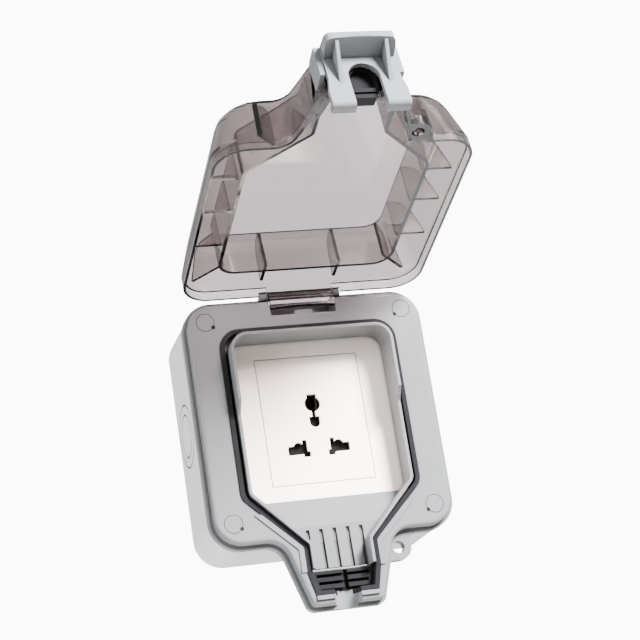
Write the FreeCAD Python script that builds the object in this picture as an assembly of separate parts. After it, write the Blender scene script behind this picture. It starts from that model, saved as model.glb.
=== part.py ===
import FreeCAD, Part
import math
import os

# Waterproof outlet box for one socket, with a smoke-clear cover that hinges up.
# Frame: X right, +Y into the wall, Z up. Origin at the centre of the back face, on the wall.
# Millimetres. The cover is drawn shut and then turned up about its hinge pin.

V = FreeCAD.Vector

# Front frame outline
FRAME_HALF_W = 57.6
FRAME_TOP = 57.5
SHOULDER_DROP = 58.7
NOSE_DROP = 89.7
CORNER_R = 14.0
NOSE_HALF_W = 17.6
FLANK_SLOPE = 0.31
FLANK_R = 9.0
NOSE_CORNER_R = 4.4
ARC_SHARE = 0.98

# Depths measured out from the wall
BOX_DEPTH = 41.4
FLANGE_T = 4.6
DECK_T = 4.0
LEDGE_W = 1.6
DECK_EDGE_R = 2.0
SKIN = 2.4
FLANGE_FRONT = BOX_DEPTH + FLANGE_T
DECK_FRONT = FLANGE_FRONT + DECK_T

# Gasket channel and lip round the recess
CHANNEL_EDGE = 15.15
CHANNEL_TOP_EDGE = 14.4
CHANNEL_CORNER_R = 10.0
CHANNEL_BEND_LOWER = 1.2
CHANNEL_BEND_R = 7.0
THROAT_HALF_W = 17.2
THROAT_LENGTH = 28.7
THROAT_TAPER_LENGTH = 17.2
THROAT_END_HALF_W = 14.5
THROAT_TOP_R = 2.0
THROAT_SIDE_R = 3.0
CHANNEL_END_T = 6.1
CHANNEL_DEEP = 5.0
CHANNEL_WALL = 1.8
GASKET_W = 2.2
GASKET_PROUD = 0.6
LIP_EDGE = 3.75
LIP_TOP_EDGE = 3.8
LIP_CORNER_R = 8.0
LIP_BEND_R = 5.0
LIP_THROAT_HALF_W = 14.6
LIP_THROAT_GAP = 2.31
LIP_T = 1.3
LIP_HIGH_RISE = 7.6
LIP_LOW_RISE = 2.3
LIP_STEP_TOP = 8.0
LIP_STEP_RUN = 6.0
LIP_STEP_R = 2.5
CORE_END_DROP = 43.3
CREASE_W = 2.4
CREASE_H = 0.5
CREASE_BELOW_BEND = 8.0

# Cable trough, comb and outlet notch
SEAT_BACK = 1.4
TROUGH_TOP_MARGIN = 7.2
TROUGH_BEND_RISE = 2.4
TROUGH_END_LENGTH = 18.4
TROUGH_START_PROUD = 0.3
TROUGH_BREAK_DEEP = 6.6
TROUGH_END_DEEP = 6.0
GROOVE_ABOVE_SHOULDER = 7.9
TROUGH_T = 1.8
TROUGH_GROOVES = 5
GROOVE_PITCH = 6.3
GROOVE_W = 1.8
GROOVE_DEPTH = 1.1
BEAD_PROUD = 0.8
COMB_BELOW_TROUGH = 0.7
COMB_FRONT_DEEP = 3.8
COMB_BACK_DEEP = 7.4
COMB_GAP = 0.1
COMB_TOP_T = 1.7
COMB_SIDE_T = 2.6
COMB_TAPER = 0.7
COMB_ROWS = 3
COMB_ROW_H = 1.3
COMB_ROW_PITCH = 3.3
COMB_ROW_DEPTH = 1.8
COMB_SLIT_W = 2.0
COMB_SLIT_DEEPER = 0.6
COMB_SLIT_STOP = 1.0
OUTLET_R = 6.1
OUTLET_RUN = 0.5
END_LIP_IN = 5.9
END_LIP_W = 1.8
END_LIP_PROUD = 1.0

# Padlock ear
EAR_X = 28.2
EAR_BELOW_SHOULDER = 6.2
EAR_ROOT = 4.0
EAR_FILLET_R = 4.0
EAR_R = 6.0
EAR_HOLE_R = 2.8

# Corner screws and caps
CAP_SIDE_EDGE = 10.2
CAP_TOP_EDGE = 10.1
CAP_LOW_EDGE = 11.3
CAP_R = 4.05
CAP_T = 2.4
CAP_GAP = 0.08
CAP_NOTCH_R = 0.7
CAP_NOTCH_DEPTH = 1.2
CAP_NOTCH_IN = 3.52
CAP_NOTCH_LOWER = 2.51
HEAD_GAP = 0.1
SCREW_HEAD_R = 3.6
SCREW_HEAD_H = 2.6
SCREW_R = 2.0
SCREW_LENGTH = 18.0
SCREW_GAP = 0.3
SCREW_TIP_ROOM = 4.6
BOSS_R = 5.0
BOSS_ROOM = 1.0
BOSS_WEB_T = 2.0

# Back box
WALL = 2.5
BOX_INSET = 0.6
BACK_EDGE_R = 2.5
FIX_SPACING = 80.0
FIX_HOLE_R = 2.3
FIX_PAD_R = 4.4
FIX_PAD_H = 1.5
KNOCKOUT_R = 15.0
KNOCKOUT_INNER_R = 10.4
KNOCKOUT_GROOVE_W = 0.9
KNOCKOUT_GROOVE_DEPTH = 1.0
KNOCKOUT_Z = 2.0
DRAFT_STEP = 0.4
SEAL_W = 1.3
SEAL_H = 1.2
SEAL_INSET = 0.6

# Hinge
HINGE_PROUD = 0.6
HINGE_RISE = 1.0
OPEN_ANGLE = 103.5
PIN_R = 1.0
PIN_GAP = 0.06
BARREL_R = 2.1
EAR_LUG_R = 2.2
WEB_SHARE = 0.7
SLOT_HALF_W = 15.8
SLOT_BOTTOM_DROP = 9.0
SLOT_DEPTH = 12.0
SLOT_WALL = 1.5
POCKET_GAP = 0.3
TAB_GAP = 0.4
TAB_REACH = 7.2
TAB_ARCH = 0.8
LUG_GAP = 0.1
LUG_W = 3.4
STOP_HALF_W = 4.3
STOP_H = 1.9
STOP_T = 1.8

# Cover
COVER_GAP = 0.3
COVER_H = 27.5
COVER_WALL = 2.0
SIDE_SKIRT = 6.0
SIDE_LEAN = 18.0
SIDE_R = 9.0
HINGE_SKIRT = 3.0
HINGE_LEAN = 9.0
HINGE_R = 8.0
SHOULDER_LEAN = 3.0
FLANK_LEAN = 8.0
NOSE_LEAN = 3.0
EDGE_R = 3.2
RING_GAP = 0.45
RING_T = 1.6
GUSSET_T = 1.5
GUSSET_LIFT = 3.0
GUSSET_SINK = 0.8
GUSSET_PLACES = (35.0, 62.0, 85.0)
CORNER_GUSSET_RUN = 12.0
CORNER_SHARE = 0.3
EDGE_TURNS = (38.0, 56.0, 73.0, 90.0)
PADLOCK_LUG_T = 4.5

# Latch
LATCH_GAP = 0.7
LATCH_T = 2.2
LATCH_HALF_W = 15.4
LATCH_LEG_HALF_W = 16.7
LATCH_TOP = 25.0
LATCH_TOP_R = 1.5
LATCH_WAIST = 7.0
LATCH_WAIST_R = 3.0
LATCH_END_R = 0.8
LATCH_FOOT_R = 2.4
LATCH_ARCH_HALF_W = 6.7
LATCH_ARCH_TOP = 14.3
LATCH_TAB_AT = 17.6
LATCH_TAB_LENGTH = 10.0
LATCH_TAB_T = 3.3
LATCH_TAB_SLOPE = 0.24
LATCH_TAB_EDGE_R = 1.0
LATCH_TAB_BACK_R = 1.6
LATCH_TAB_NARROWER = 0.4
LATCH_TAB_CORNER_R = 3.2
LATCH_TAB_CROWN = 0.9
LATCH_TAB_CROWN_R = 40.0
LATCH_RIB_X = 10.5
LATCH_RIB_T = 1.5
LATCH_RIB_FOOT = 3.0
LATCH_RIB_SHORT = 1.5
LATCH_RIB_TOP = 2.0
LATCH_PIVOT_IN = 3.0
LATCH_PIVOT_UP = 20.5
LATCH_REST_ANGLE = 5.0
HOOK_GAP = 0.4
HOOK_H = 3.0
HOOK_BITE = 1.8
HOOK_ROOT = 0.5
CHEEK_T = 2.0
CHEEK_GAP = 1.2
CHEEK_BACK = 8.0
CHEEK_LOW = 9.6
CHEEK_LOW_R = 1.0
CHEEK_TOP_R = 2.5
CHEEK_BRIDGE_T = 1.2
NOTCH_DROP = 2.1
NOTCH_HALF_W = 15.4
CHEEK_X = 15.9
LATCH_PIN_R = 1.2

# Cover cable seal
SEAL_ARCH_HALF_W = 6.6
SEAL_ARCH_TOP = 15.6
SEAL_FLANGE = 1.8
SEAL_FLANGE_T = 2.0
SEAL_RECESS = 1.4
SEAL_LEDGE_H = 4.6
SEAL_LEDGE_T = 0.5
SEAL_PROUD = 0.1
SEAL_INWARD = 3.0
SEAL_WALL_GAP = 1.0
SEAL_FOOT_GAP = 0.4
SEAL_FOOT_DROP = 4.2
SEAL_HOLLOW_DEPTH = 2.2
SEAL_GROOVE_FROM = 1.6
SEAL_GROOVE_W = 1.0
SEAL_GROOVE_DEPTH = 0.8

# Socket plate and module
PLATE_T = 2.5
PLATE_LAP = 1.8
PLATE_R = 8.0
PLATE_LOW_R = 2.0
PLATE_GAP = 0.05
PLATE_SCREW_OUT = 4.15
PLATE_SCREW_Z = 20.0
PLATE_EAR_R = 3.6
PLATE_SCREW_R = 1.5
PLATE_SCREW_GAP = 0.2
PLATE_SCREW_HEAD_R = 2.8
PLATE_SCREW_HEAD_H = 1.8
PLATE_SCREW_GRIP = 5.0
MODULE_HALF_W = 24.8
MODULE_HALF_H = 30.5
MODULE_GAP = 0.18
MODULE_WALL = 1.7
MODULE_SKIN = 2.6
MODULE_LAP = 1.0
MODULE_LAP_T = 2.0
MODULE_DEPTH = 20.0
REAR_COVER_T = 2.0
EDGE_RELIEF = 0.3

# Pin apertures, from the centre of the socket
PIN_X = 11.1
LINE_IN = 7.6
LINE_OUT = 14.8
LINE_BOTTOM_DROP = 16.4
LINE_TOP_DROP = 12.2
LINE_BULGE_R = 2.6
LINE_BULGE_X = 9.6
LINE_BULGE_LOWER = 1.0
BLADE_IN = 5.5
BLADE_OVERLAP = 0.1
BLADE_TOP_DROP = 9.6
BLADE_BOTTOM_DROP = 17.7
BLADE_FOOT_IN = 4.3
BLADE_FOOT_TOP_DROP = 15.0
EARTH_Z = 7.3
EARTH_R = 3.75
EARTH_KEY_HALF_W = 2.3
EARTH_KEY_TOP = 11.9
EARTH_NECK_HALF_W = 0.9
EARTH_SLOT_HALF_W = 2.5
EARTH_SLOT_TOP = 1.2
EARTH_SLOT_BOTTOM_DROP = 4.0

# Shutter, spring and contacts
SHUTTER_T = 2.0
SHUTTER_GAP = 0.2
SHUTTER_HALF_W = 16.9
SHUTTER_TOP_DROP = 8.6
SHUTTER_BOTTOM_DROP = 19.4
SHUTTER_BRIDGE_HALF_W = 5.0
SHUTTER_BRIDGE_TOP = 3.0
SHUTTER_TRAVEL = 9.0
SHUTTER_SLOT_TOP_DROP = 5.0
SHUTTER_SLOT_HALF_W = 2.4
SPRING_PEG_DROP = 23.8
SPRING_PEG_H = 2.0
SPRING_R = 1.55
SPRING_WIRE_R = 0.3
SPRING_TURNS = 7
SPRING_PEG_NARROWER = 0.4
SPRING_SINK = 0.05
SHUTTER_RAIL_T = 1.0
RAMP_FOOT = 0.6
RAMP_OVER = 0.1
LEAF_T = 0.8
CONTACT_FRONT_GAP = 0.6
CONTACT_LIFT = 4.0
CONTACT_HALF_W = 3.6
LINE_LEAF_GAP = 4.2
EARTH_LEAF_GAP = 4.4
TERMINAL_SIZE = 8.0
TERMINAL_WALL = 0.5
TERMINAL_LIFT = 1.4
TERMINAL_BORE_LIFT = 1.0
TERMINAL_ENTRY_GAP = 0.5
TERMINAL_ENTRY_RUN = 5.0
STRIP_INSET = 2.0
STRIP_OUTSET = 1.0
EARTH_LEAF_TRIM = 0.6
TERMINAL_WIRE_R = 1.6
LINE_TERMINAL_X = 15.5
LINE_TERMINAL_DROP = 24.0
EARTH_TERMINAL_Z = 23.5
TERMINAL_SCREW_R = 1.6
TERMINAL_HEAD_R = 2.5
TERMINAL_HEAD_H = 1.6
CARRIER_GAP = 0.2
SPRING_POCKET_GAP = 0.4
SPRING_POCKET_DEEPER = 0.3
COVER_SCREW_X = 16.0
COVER_SCREW_R = 1.2
COVER_SCREW_GRIP = 8.0
COVER_SCREW_GAP = 0.1
COVER_SCREW_HEAD_R = 2.2
COVER_SCREW_HEAD_H = 1.4
DRIVE_W = 0.7
DRIVE_DEPTH = 0.9

# Places that follow from the values above
RIM = FLANGE_FRONT + COVER_GAP
RING_EDGE = DECK_FRONT + GASKET_PROUD + COVER_GAP
SEAT_DEPTH = BOX_DEPTH - SEAT_BACK
CHANNEL_FLOOR = DECK_FRONT - CHANNEL_DEEP
CHANNEL_HALF_W = FRAME_HALF_W - CHANNEL_EDGE
CHANNEL_TOP = FRAME_TOP - CHANNEL_TOP_EDGE
LIP_HALF_W = CHANNEL_HALF_W - LIP_EDGE
LIP_TOP = CHANNEL_TOP - LIP_TOP_EDGE
LIP_HIGH = DECK_FRONT + LIP_HIGH_RISE
LIP_LOW = DECK_FRONT + LIP_LOW_RISE
TROUGH_TOP_DROP = MODULE_HALF_H + TROUGH_TOP_MARGIN
LIP_BEND_DROP = TROUGH_TOP_DROP - TROUGH_BEND_RISE
CHANNEL_BEND_DROP = LIP_BEND_DROP + CHANNEL_BEND_LOWER
THROAT_TOP_DROP = NOSE_DROP - THROAT_LENGTH
THROAT_STRAIGHT_DROP = NOSE_DROP - THROAT_TAPER_LENGTH
CHANNEL_BOTTOM_DROP = NOSE_DROP - CHANNEL_END_T
TROUGH_END_DROP = NOSE_DROP - TROUGH_END_LENGTH
TROUGH_START = SEAT_DEPTH + TROUGH_START_PROUD
TROUGH_BREAK = DECK_FRONT - TROUGH_BREAK_DEEP
TROUGH_END = DECK_FRONT - TROUGH_END_DEEP
GROOVE_TOP_DROP = SHOULDER_DROP - GROOVE_ABOVE_SHOULDER
COMB_TOP_DROP = TROUGH_END_DROP + COMB_BELOW_TROUGH
COMB_FRONT = DECK_FRONT - COMB_FRONT_DEEP
COMB_BACK = DECK_FRONT - COMB_BACK_DEEP
EAR_DROP = SHOULDER_DROP + EAR_BELOW_SHOULDER
KNOCKOUT_DEPTH = (BOX_DEPTH - DRAFT_STEP) / 2
PLATE_SCREW_X = CHANNEL_HALF_W + PLATE_SCREW_OUT
HINGE = V(0, -(FLANGE_FRONT + HINGE_PROUD), FRAME_TOP + HINGE_RISE)
LATCH_PIVOT = V(0, -(RIM + LATCH_PIVOT_UP), -(NOSE_DROP - LATCH_PIVOT_IN))
MODULE_BACK = SEAT_DEPTH - MODULE_DEPTH
CONTACT_BACK = MODULE_BACK + CONTACT_LIFT
TERMINAL_SEAT = MODULE_BACK + TERMINAL_LIFT
TERMINAL_BORE = CONTACT_BACK + TERMINAL_BORE_LIFT
TERMINAL_HALF = TERMINAL_SIZE / 2 - TERMINAL_WALL
INNER_FACE = SEAT_DEPTH - MODULE_SKIN
MODULE_W = MODULE_HALF_W - MODULE_GAP
MODULE_H = MODULE_HALF_H - MODULE_GAP
CAVITY_W = MODULE_W - MODULE_WALL
CAVITY_H = MODULE_H - MODULE_WALL
SHUTTER_FRONT = INNER_FACE - SHUTTER_GAP
SHUTTER_BACK = SHUTTER_FRONT - SHUTTER_T
CARRIER_FRONT = SHUTTER_BACK - SHUTTER_GAP
SPRING_ROOM = SPRING_R + SPRING_WIRE_R
SPRING_DEPTH = SHUTTER_FRONT - SPRING_ROOM + SPRING_SINK
LINE_Z = -(LINE_BOTTOM_DROP + LINE_TOP_DROP) / 2
TERMINALS = (
    (-LINE_TERMINAL_X, -LINE_TERMINAL_DROP),
    (LINE_TERMINAL_X, -LINE_TERMINAL_DROP),
    (0, EARTH_TERMINAL_Z),
)
X_AXIS = V(1, 0, 0)
Y_AXIS = V(0, 1, 0)
Z_AXIS = V(0, 0, 1)
FAR = 300.0

# Overlap of joined forms, and how far a cut runs past what it cuts
JOIN = 1.0
OVERCUT = 1.0


def on_front(y):
    """Plane parallel to the wall, at depth y."""
    return lambda a, b: V(a, y, b)


def on_side(x):
    """Plane square to the X axis; its coordinates are y and z."""
    return lambda a, b: V(x, a, b)


def on_level(z):
    """Plane square to Z; its coordinates are x and the height above the rim."""
    return lambda a, b: V(a, -(RIM + b), z)


def rounded(points, place):
    """Closed wire through (a, b, radius) corners, each rounded by a tangent arc."""
    arcs = []
    count = len(points)
    for i, (a, b, radius) in enumerate(points):
        corner = place(a, b)
        back = (place(*points[i - 1][:2]) - corner).normalize()
        on = (place(*points[(i + 1) % count][:2]) - corner).normalize()
        if radius <= 0:
            arcs.append((corner, None, corner))
            continue
        half = back.getAngle(on) / 2
        run = radius / math.tan(half)
        middle = (back + on).normalize() * (radius / math.sin(half) - radius)
        arcs.append((corner + back * run, corner + middle, corner + on * run))
    edges = []
    for i, (start, middle, end) in enumerate(arcs):
        if middle is not None:
            edges.append(Part.Arc(start, middle, end).toShape())
        following = arcs[(i + 1) % count][0]
        if end.distanceToPoint(following) > 1e-6:
            edges.append(Part.LineSegment(end, following).toShape())
    return Part.Wire(edges)


def mirrored(half):
    """Right-hand (x, z, radius) points, top to bottom, and their mirror images."""
    return list(half) + [(-x, z, r) for x, z, r in reversed(half)]


def prism(points, depth_from, depth_to):
    """Solid from a front outline, between two distances out from the wall."""
    face = Part.Face(rounded(points, on_front(-depth_from)))
    return face.extrude(V(0, depth_from - depth_to, 0))


def cross_prism(points, half_width):
    """Solid from a (y, z, radius) outline, extruded across X, centred."""
    face = Part.Face(rounded(points, on_side(-half_width)))
    return face.extrude(V(2 * half_width, 0, 0))


def box(x0, x1, d0, d1, z0, z1):
    """Block between two X, two depths out from the wall and two Z values."""
    return Part.makeBox(x1 - x0, d1 - d0, z1 - z0, V(x0, -d1, z0))


def peg(radius, x, z, depth_from, depth_to):
    """Cylinder square to the wall."""
    return Part.makeCylinder(radius, depth_to - depth_from, V(x, -depth_to, z), Y_AXIS)


def cross_rod(radius, y, z, half_length):
    """Cylinder along X, centred."""
    return Part.makeCylinder(radius, 2 * half_length, V(-half_length, y, z), X_AXIS)


def corners(x, z):
    """The four places (+-x, +-z)."""
    return [(sx * x, sz * z) for sx in (-1, 1) for sz in (-1, 1)]


def cap_places():
    """Centres of the four screw caps, each at its own margin from the frame's edges."""
    x = FRAME_HALF_W - CAP_SIDE_EDGE
    heights = (-(SHOULDER_DROP - CAP_LOW_EDGE), FRAME_TOP - CAP_TOP_EDGE)
    return [(sx * x, z) for sx in (-1, 1) for z in heights]


def frame_outline(inset=0.0):
    """Front frame outline: square top, shoulders that sweep into a tapered nose."""
    return nose_outline(inset, inset, inset, inset, inset, inset)


def nose_outline(side, top, shoulder, flank, nose, rounding):
    """The frame outline with each side moved in by its own amount."""
    slant = math.hypot(1, FLANK_SLOPE) * flank
    shoulder_z = SHOULDER_DROP - shoulder
    nose_z = NOSE_DROP - nose
    shoulder_x = NOSE_HALF_W + FLANK_SLOPE * (NOSE_DROP - shoulder_z) - slant
    nose_x = NOSE_HALF_W + FLANK_SLOPE * nose - slant
    corner_r = CORNER_R - rounding
    flank_r = FLANK_R + rounding
    flank_run = flank_r * math.tan((math.pi / 2 - math.atan(FLANK_SLOPE)) / 2)
    room = FRAME_HALF_W - side - shoulder_x
    fit = min(1.0, ARC_SHARE * room / (corner_r + flank_run))
    return mirrored([
        (FRAME_HALF_W - side, FRAME_TOP - top, corner_r * fit),
        (FRAME_HALF_W - side, -shoulder_z, corner_r * fit),
        (shoulder_x, -shoulder_z, flank_r * fit),
        (nose_x, -nose_z, NOSE_CORNER_R - rounding),
    ])


def box_outline(inset=0.0):
    """Rounded square of the back box."""
    inset = inset + BOX_INSET
    return mirrored([
        (FRAME_HALF_W - inset, FRAME_TOP - inset, CORNER_R - inset),
        (FRAME_HALF_W - inset, -(SHOULDER_DROP - inset), CORNER_R - inset),
    ])


def channel_outline():
    """Outer wall of the gasket channel: a square that funnels into the cable throat."""
    return mirrored([
        (CHANNEL_HALF_W, CHANNEL_TOP, CHANNEL_CORNER_R),
        (CHANNEL_HALF_W, -CHANNEL_BEND_DROP, CHANNEL_BEND_R),
        (THROAT_HALF_W, -THROAT_TOP_DROP, THROAT_TOP_R),
        (THROAT_HALF_W, -THROAT_STRAIGHT_DROP, THROAT_SIDE_R),
        (THROAT_END_HALF_W, -CHANNEL_BOTTOM_DROP, 0.0),
    ])


def lip_outline():
    """Outside of the upstand round the recess."""
    run = CHANNEL_HALF_W - THROAT_HALF_W
    fall = THROAT_TOP_DROP - CHANNEL_BEND_DROP
    length = math.hypot(run, fall)
    beside = (THROAT_HALF_W - LIP_THROAT_HALF_W) * fall / length
    throat_drop = THROAT_TOP_DROP - (LIP_THROAT_GAP - beside) * length / run
    return mirrored([
        (LIP_HALF_W, LIP_TOP, LIP_CORNER_R),
        (LIP_HALF_W, -LIP_BEND_DROP, LIP_BEND_R),
        (LIP_THROAT_HALF_W, -throat_drop, THROAT_TOP_R),
        (LIP_THROAT_HALF_W, -TROUGH_END_DROP, 0.0),
    ])


def moved_prism(points, outward, depth_from, depth_to):
    """Prism of an outline moved outward (or inward, when negative)."""
    wire = rounded(points, on_front(-depth_from)).makeOffset2D(outward, 2)
    return Part.Face(wire).extrude(V(0, depth_from - depth_to, 0))


def front_rim(shape, depth):
    """Edges that lie wholly at one depth."""
    return [e for e in shape.Edges if all(abs(v.Y + depth) < 1e-6 for v in e.Vertexes)]


def fused(first, *others):
    """One clean solid from several that touch."""
    return first.multiFuse(list(others)).removeSplitter()


def trough_floor():
    """Ramp and grooved floor that carries the plug's cable to the comb."""
    slab = cross_prism([
        (-TROUGH_START, -TROUGH_TOP_DROP, 0),
        (-TROUGH_BREAK, -GROOVE_TOP_DROP, 0),
        (-TROUGH_END, -TROUGH_END_DROP, 0),
        (-BOX_DEPTH, -TROUGH_END_DROP, 0),
        (-BOX_DEPTH, -GROOVE_TOP_DROP, 0),
        (-(TROUGH_START - TROUGH_T), -TROUGH_TOP_DROP, 0),
    ], LIP_HALF_W)
    slab = slab.common(moved_prism(lip_outline(), -LIP_T / 2, 0, DECK_FRONT))
    groove = cross_prism([
        (-DECK_FRONT, -GROOVE_TOP_DROP, 0),
        (-(TROUGH_BREAK - GROOVE_DEPTH), -(GROOVE_TOP_DROP + GROOVE_W), GROOVE_W / 2),
        (-(TROUGH_END - GROOVE_DEPTH), -(TROUGH_END_DROP + OVERCUT), 0),
        (-DECK_FRONT, -(TROUGH_END_DROP + OVERCUT), 0),
    ], GROOVE_W / 2)
    for i in range(TROUGH_GROOVES):
        x = (i - (TROUGH_GROOVES - 1) / 2) * GROOVE_PITCH
        slab = slab.cut(groove.translated(V(x, 0, 0)))
    return slab


def recess_wall():
    """Wall behind the frame that the socket plate seats on and the ramp hangs from."""
    back = TROUGH_START - TROUGH_T
    wall = moved_prism(lip_outline(), 0, back, BOX_DEPTH + JOIN)
    wall = wall.cut(moved_prism(lip_outline(), -LIP_T, 0, BOX_DEPTH + JOIN + OVERCUT))
    wall = wall.cut(box(-FAR, FAR, 0, SEAT_DEPTH, -TROUGH_TOP_DROP, FAR))
    return wall.cut(box(-FAR, FAR, 0, FAR, -FAR, -GROOVE_TOP_DROP))


def frame_lip():
    """Upstand round the recess, high at the top and low where cables leave."""
    lip = moved_prism(lip_outline(), 0, CHANNEL_FLOOR - JOIN, LIP_HIGH)
    beyond = LIP_HIGH + 2 * LIP_STEP_R
    step = cross_prism([
        (-beyond, LIP_STEP_TOP, 0),
        (-LIP_HIGH, LIP_STEP_TOP, LIP_STEP_R),
        (-LIP_LOW, LIP_STEP_TOP - LIP_STEP_RUN, LIP_STEP_R),
        (-LIP_LOW, -NOSE_DROP, 0),
        (-beyond, -NOSE_DROP, 0),
    ], FRAME_HALF_W)
    return lip.cut(step)


def deck_crease():
    """Low raised rim on the deck along the slanted sides of the channel and its throat."""
    rim = moved_prism(channel_outline(), CREASE_W, DECK_FRONT - JOIN, DECK_FRONT + CREASE_H)
    top = -(CHANNEL_BEND_DROP + CREASE_BELOW_BEND)
    return rim.common(box(-FAR, FAR, 0, FAR, -THROAT_STRAIGHT_DROP, top))


def hinge_ear(side):
    """Ear on the frame that carries one end of the hinge pin."""
    start = SLOT_HALF_W + LUG_GAP
    ear = Part.makeCylinder(EAR_LUG_R, LUG_W, V(start, HINGE.y, HINGE.z), X_AXIS)
    reach = EAR_LUG_R * WEB_SHARE
    web = cross_prism([
        (-BOX_DEPTH, FRAME_TOP - JOIN, 0),
        (-FLANGE_FRONT, FRAME_TOP - JOIN, 0),
        (-FLANGE_FRONT, HINGE.z + reach, 0),
        (HINGE.y + reach, HINGE.z + reach, 0),
        (-BOX_DEPTH, FRAME_TOP, 0),
    ], LUG_W / 2).translated(V(start + LUG_W / 2, 0, 0))
    ear = fused(ear, web)
    return ear if side > 0 else ear.mirror(V(0, 0, 0), X_AXIS)


def padlock_ear(depth_from, depth_to, inset):
    """Ear with a hole, at the right of the nose, on the frame and on the cover."""
    low = EAR_DROP + EAR_R - inset
    right = EAR_X + EAR_R - inset
    high = SHOULDER_DROP - EAR_ROOT
    shoulder = SHOULDER_DROP - inset
    fillet = EAR_FILLET_R + inset
    return prism([
        (NOSE_HALF_W, -high, 0),
        (right + fillet, -high, 0),
        (right + fillet, -shoulder, 0),
        (right, -shoulder, fillet),
        (right, -low, EAR_R - inset),
        (NOSE_HALF_W, -low, 0),
    ], depth_from, depth_to)


def core_pocket():
    """Hollow behind the deck, between the channel and the outer rim."""
    front = DECK_FRONT - SKIN
    pocket = moved_prism(box_outline(), -(WALL + BOX_INSET), BOX_DEPTH - OVERCUT, front)
    pocket = pocket.cut(moved_prism(channel_outline(), CHANNEL_WALL, 0, front + OVERCUT))
    for x, z in cap_places():
        pocket = pocket.cut(peg(BOSS_R + BOSS_ROOM, x, z, 0, front + OVERCUT))
    for x, z in corners(PLATE_SCREW_X, PLATE_SCREW_Z):
        pocket = pocket.cut(peg(PLATE_EAR_R, x, z, 0, front + OVERCUT))
    slot = SLOT_HALF_W + 2 * SLOT_WALL
    pocket = pocket.cut(box(-slot, slot, 0, FAR, CHANNEL_TOP, FAR))
    slot = EAR_X + SKIN
    return pocket.cut(box(-slot, slot, 0, FAR, -FAR, -CORE_END_DROP))


def front_frame():
    """Deck, flange, gasket channel, lip, trough, hinge slot and padlock ear in one moulding."""
    flange = prism(frame_outline(), BOX_DEPTH, FLANGE_FRONT)
    deck = prism(frame_outline(LEDGE_W), FLANGE_FRONT, DECK_FRONT)
    deck = deck.makeFillet(DECK_EDGE_R, front_rim(deck, DECK_FRONT))
    back = DECK_FRONT - SLOT_DEPTH - SLOT_WALL
    slot_w = SLOT_HALF_W + SLOT_WALL
    floor = FRAME_TOP - SLOT_BOTTOM_DROP
    pocket = box(-slot_w, slot_w, back, BOX_DEPTH + JOIN, floor - SLOT_WALL, FRAME_TOP)
    ear = padlock_ear(BOX_DEPTH, FLANGE_FRONT, 0)
    body = fused(flange, deck, pocket, ear, deck_crease())
    body = body.cut(core_pocket())
    for x, z in corners(PLATE_SCREW_X, PLATE_SCREW_Z):
        body = body.fuse(peg(PLATE_EAR_R, x, z, SEAT_DEPTH, BOX_DEPTH + JOIN))
    body = body.cut(moved_prism(channel_outline(), 0, CHANNEL_FLOOR, DECK_FRONT + CREASE_H + OVERCUT))
    body = fused(body, frame_lip(), recess_wall())
    body = body.cut(moved_prism(lip_outline(), -LIP_T, 0, LIP_HIGH + OVERCUT))
    throat = LIP_THROAT_HALF_W - LIP_T
    body = body.cut(box(-throat, throat, BOX_DEPTH, FAR, -TROUGH_END_DROP, -THROAT_TOP_DROP))
    body = body.cut(comb_chamber(0, COMB_BACK, DECK_FRONT + OVERCUT))
    bead = box(-throat, throat, BOX_DEPTH, TROUGH_END + BEAD_PROUD, -COMB_TOP_DROP, -TROUGH_END_DROP)
    body = fused(body, trough_floor(), bead)
    for side in (-1, 1):
        inner = min(side * END_LIP_IN, side * THROAT_END_HALF_W)
        outer = max(side * END_LIP_IN, side * THROAT_END_HALF_W)
        low = -(CHANNEL_BOTTOM_DROP + END_LIP_W)
        lip = box(inner, outer, DECK_FRONT - JOIN, DECK_FRONT + END_LIP_PROUD, low, -CHANNEL_BOTTOM_DROP)
        body = body.fuse(lip)
        body = body.fuse(hinge_ear(side))
    body = body.cut(outlet_notch(OUTLET_R))
    body = body.cut(box(-SLOT_HALF_W, SLOT_HALF_W, DECK_FRONT - SLOT_DEPTH, FAR, floor, FAR))
    stop = box(-STOP_HALF_W, STOP_HALF_W, DECK_FRONT - STOP_T, DECK_FRONT, floor - JOIN, floor + STOP_H)
    body = fused(body, stop)
    body = body.cut(seal_ring())
    body = body.cut(cross_rod(PIN_R, HINGE.y, HINGE.z, SLOT_HALF_W + LUG_GAP + LUG_W))
    body = body.cut(peg(EAR_HOLE_R, EAR_X, -EAR_DROP, 0, FAR))
    head = DECK_FRONT - CAP_T - SCREW_HEAD_H
    for x, z in cap_places():
        body = body.cut(peg(CAP_R + CAP_GAP, x, z, head, FAR))
        body = body.cut(peg(SCREW_R + SCREW_GAP, x, z, 0, FAR))
    for x, z in corners(PLATE_SCREW_X, PLATE_SCREW_Z):
        body = body.cut(peg(PLATE_SCREW_R, x, z, 0, SEAT_DEPTH + PLATE_SCREW_GRIP))
    return body.removeSplitter()


def outlet_notch(radius):
    """Half-round way out for the cable through the end of the nose."""
    low = -(NOSE_DROP + OVERCUT)
    high = -(CHANNEL_BOTTOM_DROP - GASKET_W - OUTLET_RUN)
    return Part.makeCylinder(radius, high - low, V(0, -DECK_FRONT, low), Z_AXIS)


def comb_chamber(clearance, depth_from, depth_to):
    """Space for the cable comb between the two gasket legs."""
    inside = moved_prism(channel_outline(), -(GASKET_W + clearance), depth_from, depth_to)
    top = -(COMB_TOP_DROP + clearance)
    return inside.common(box(-FAR, FAR, 0, FAR, -FAR, top))


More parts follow.
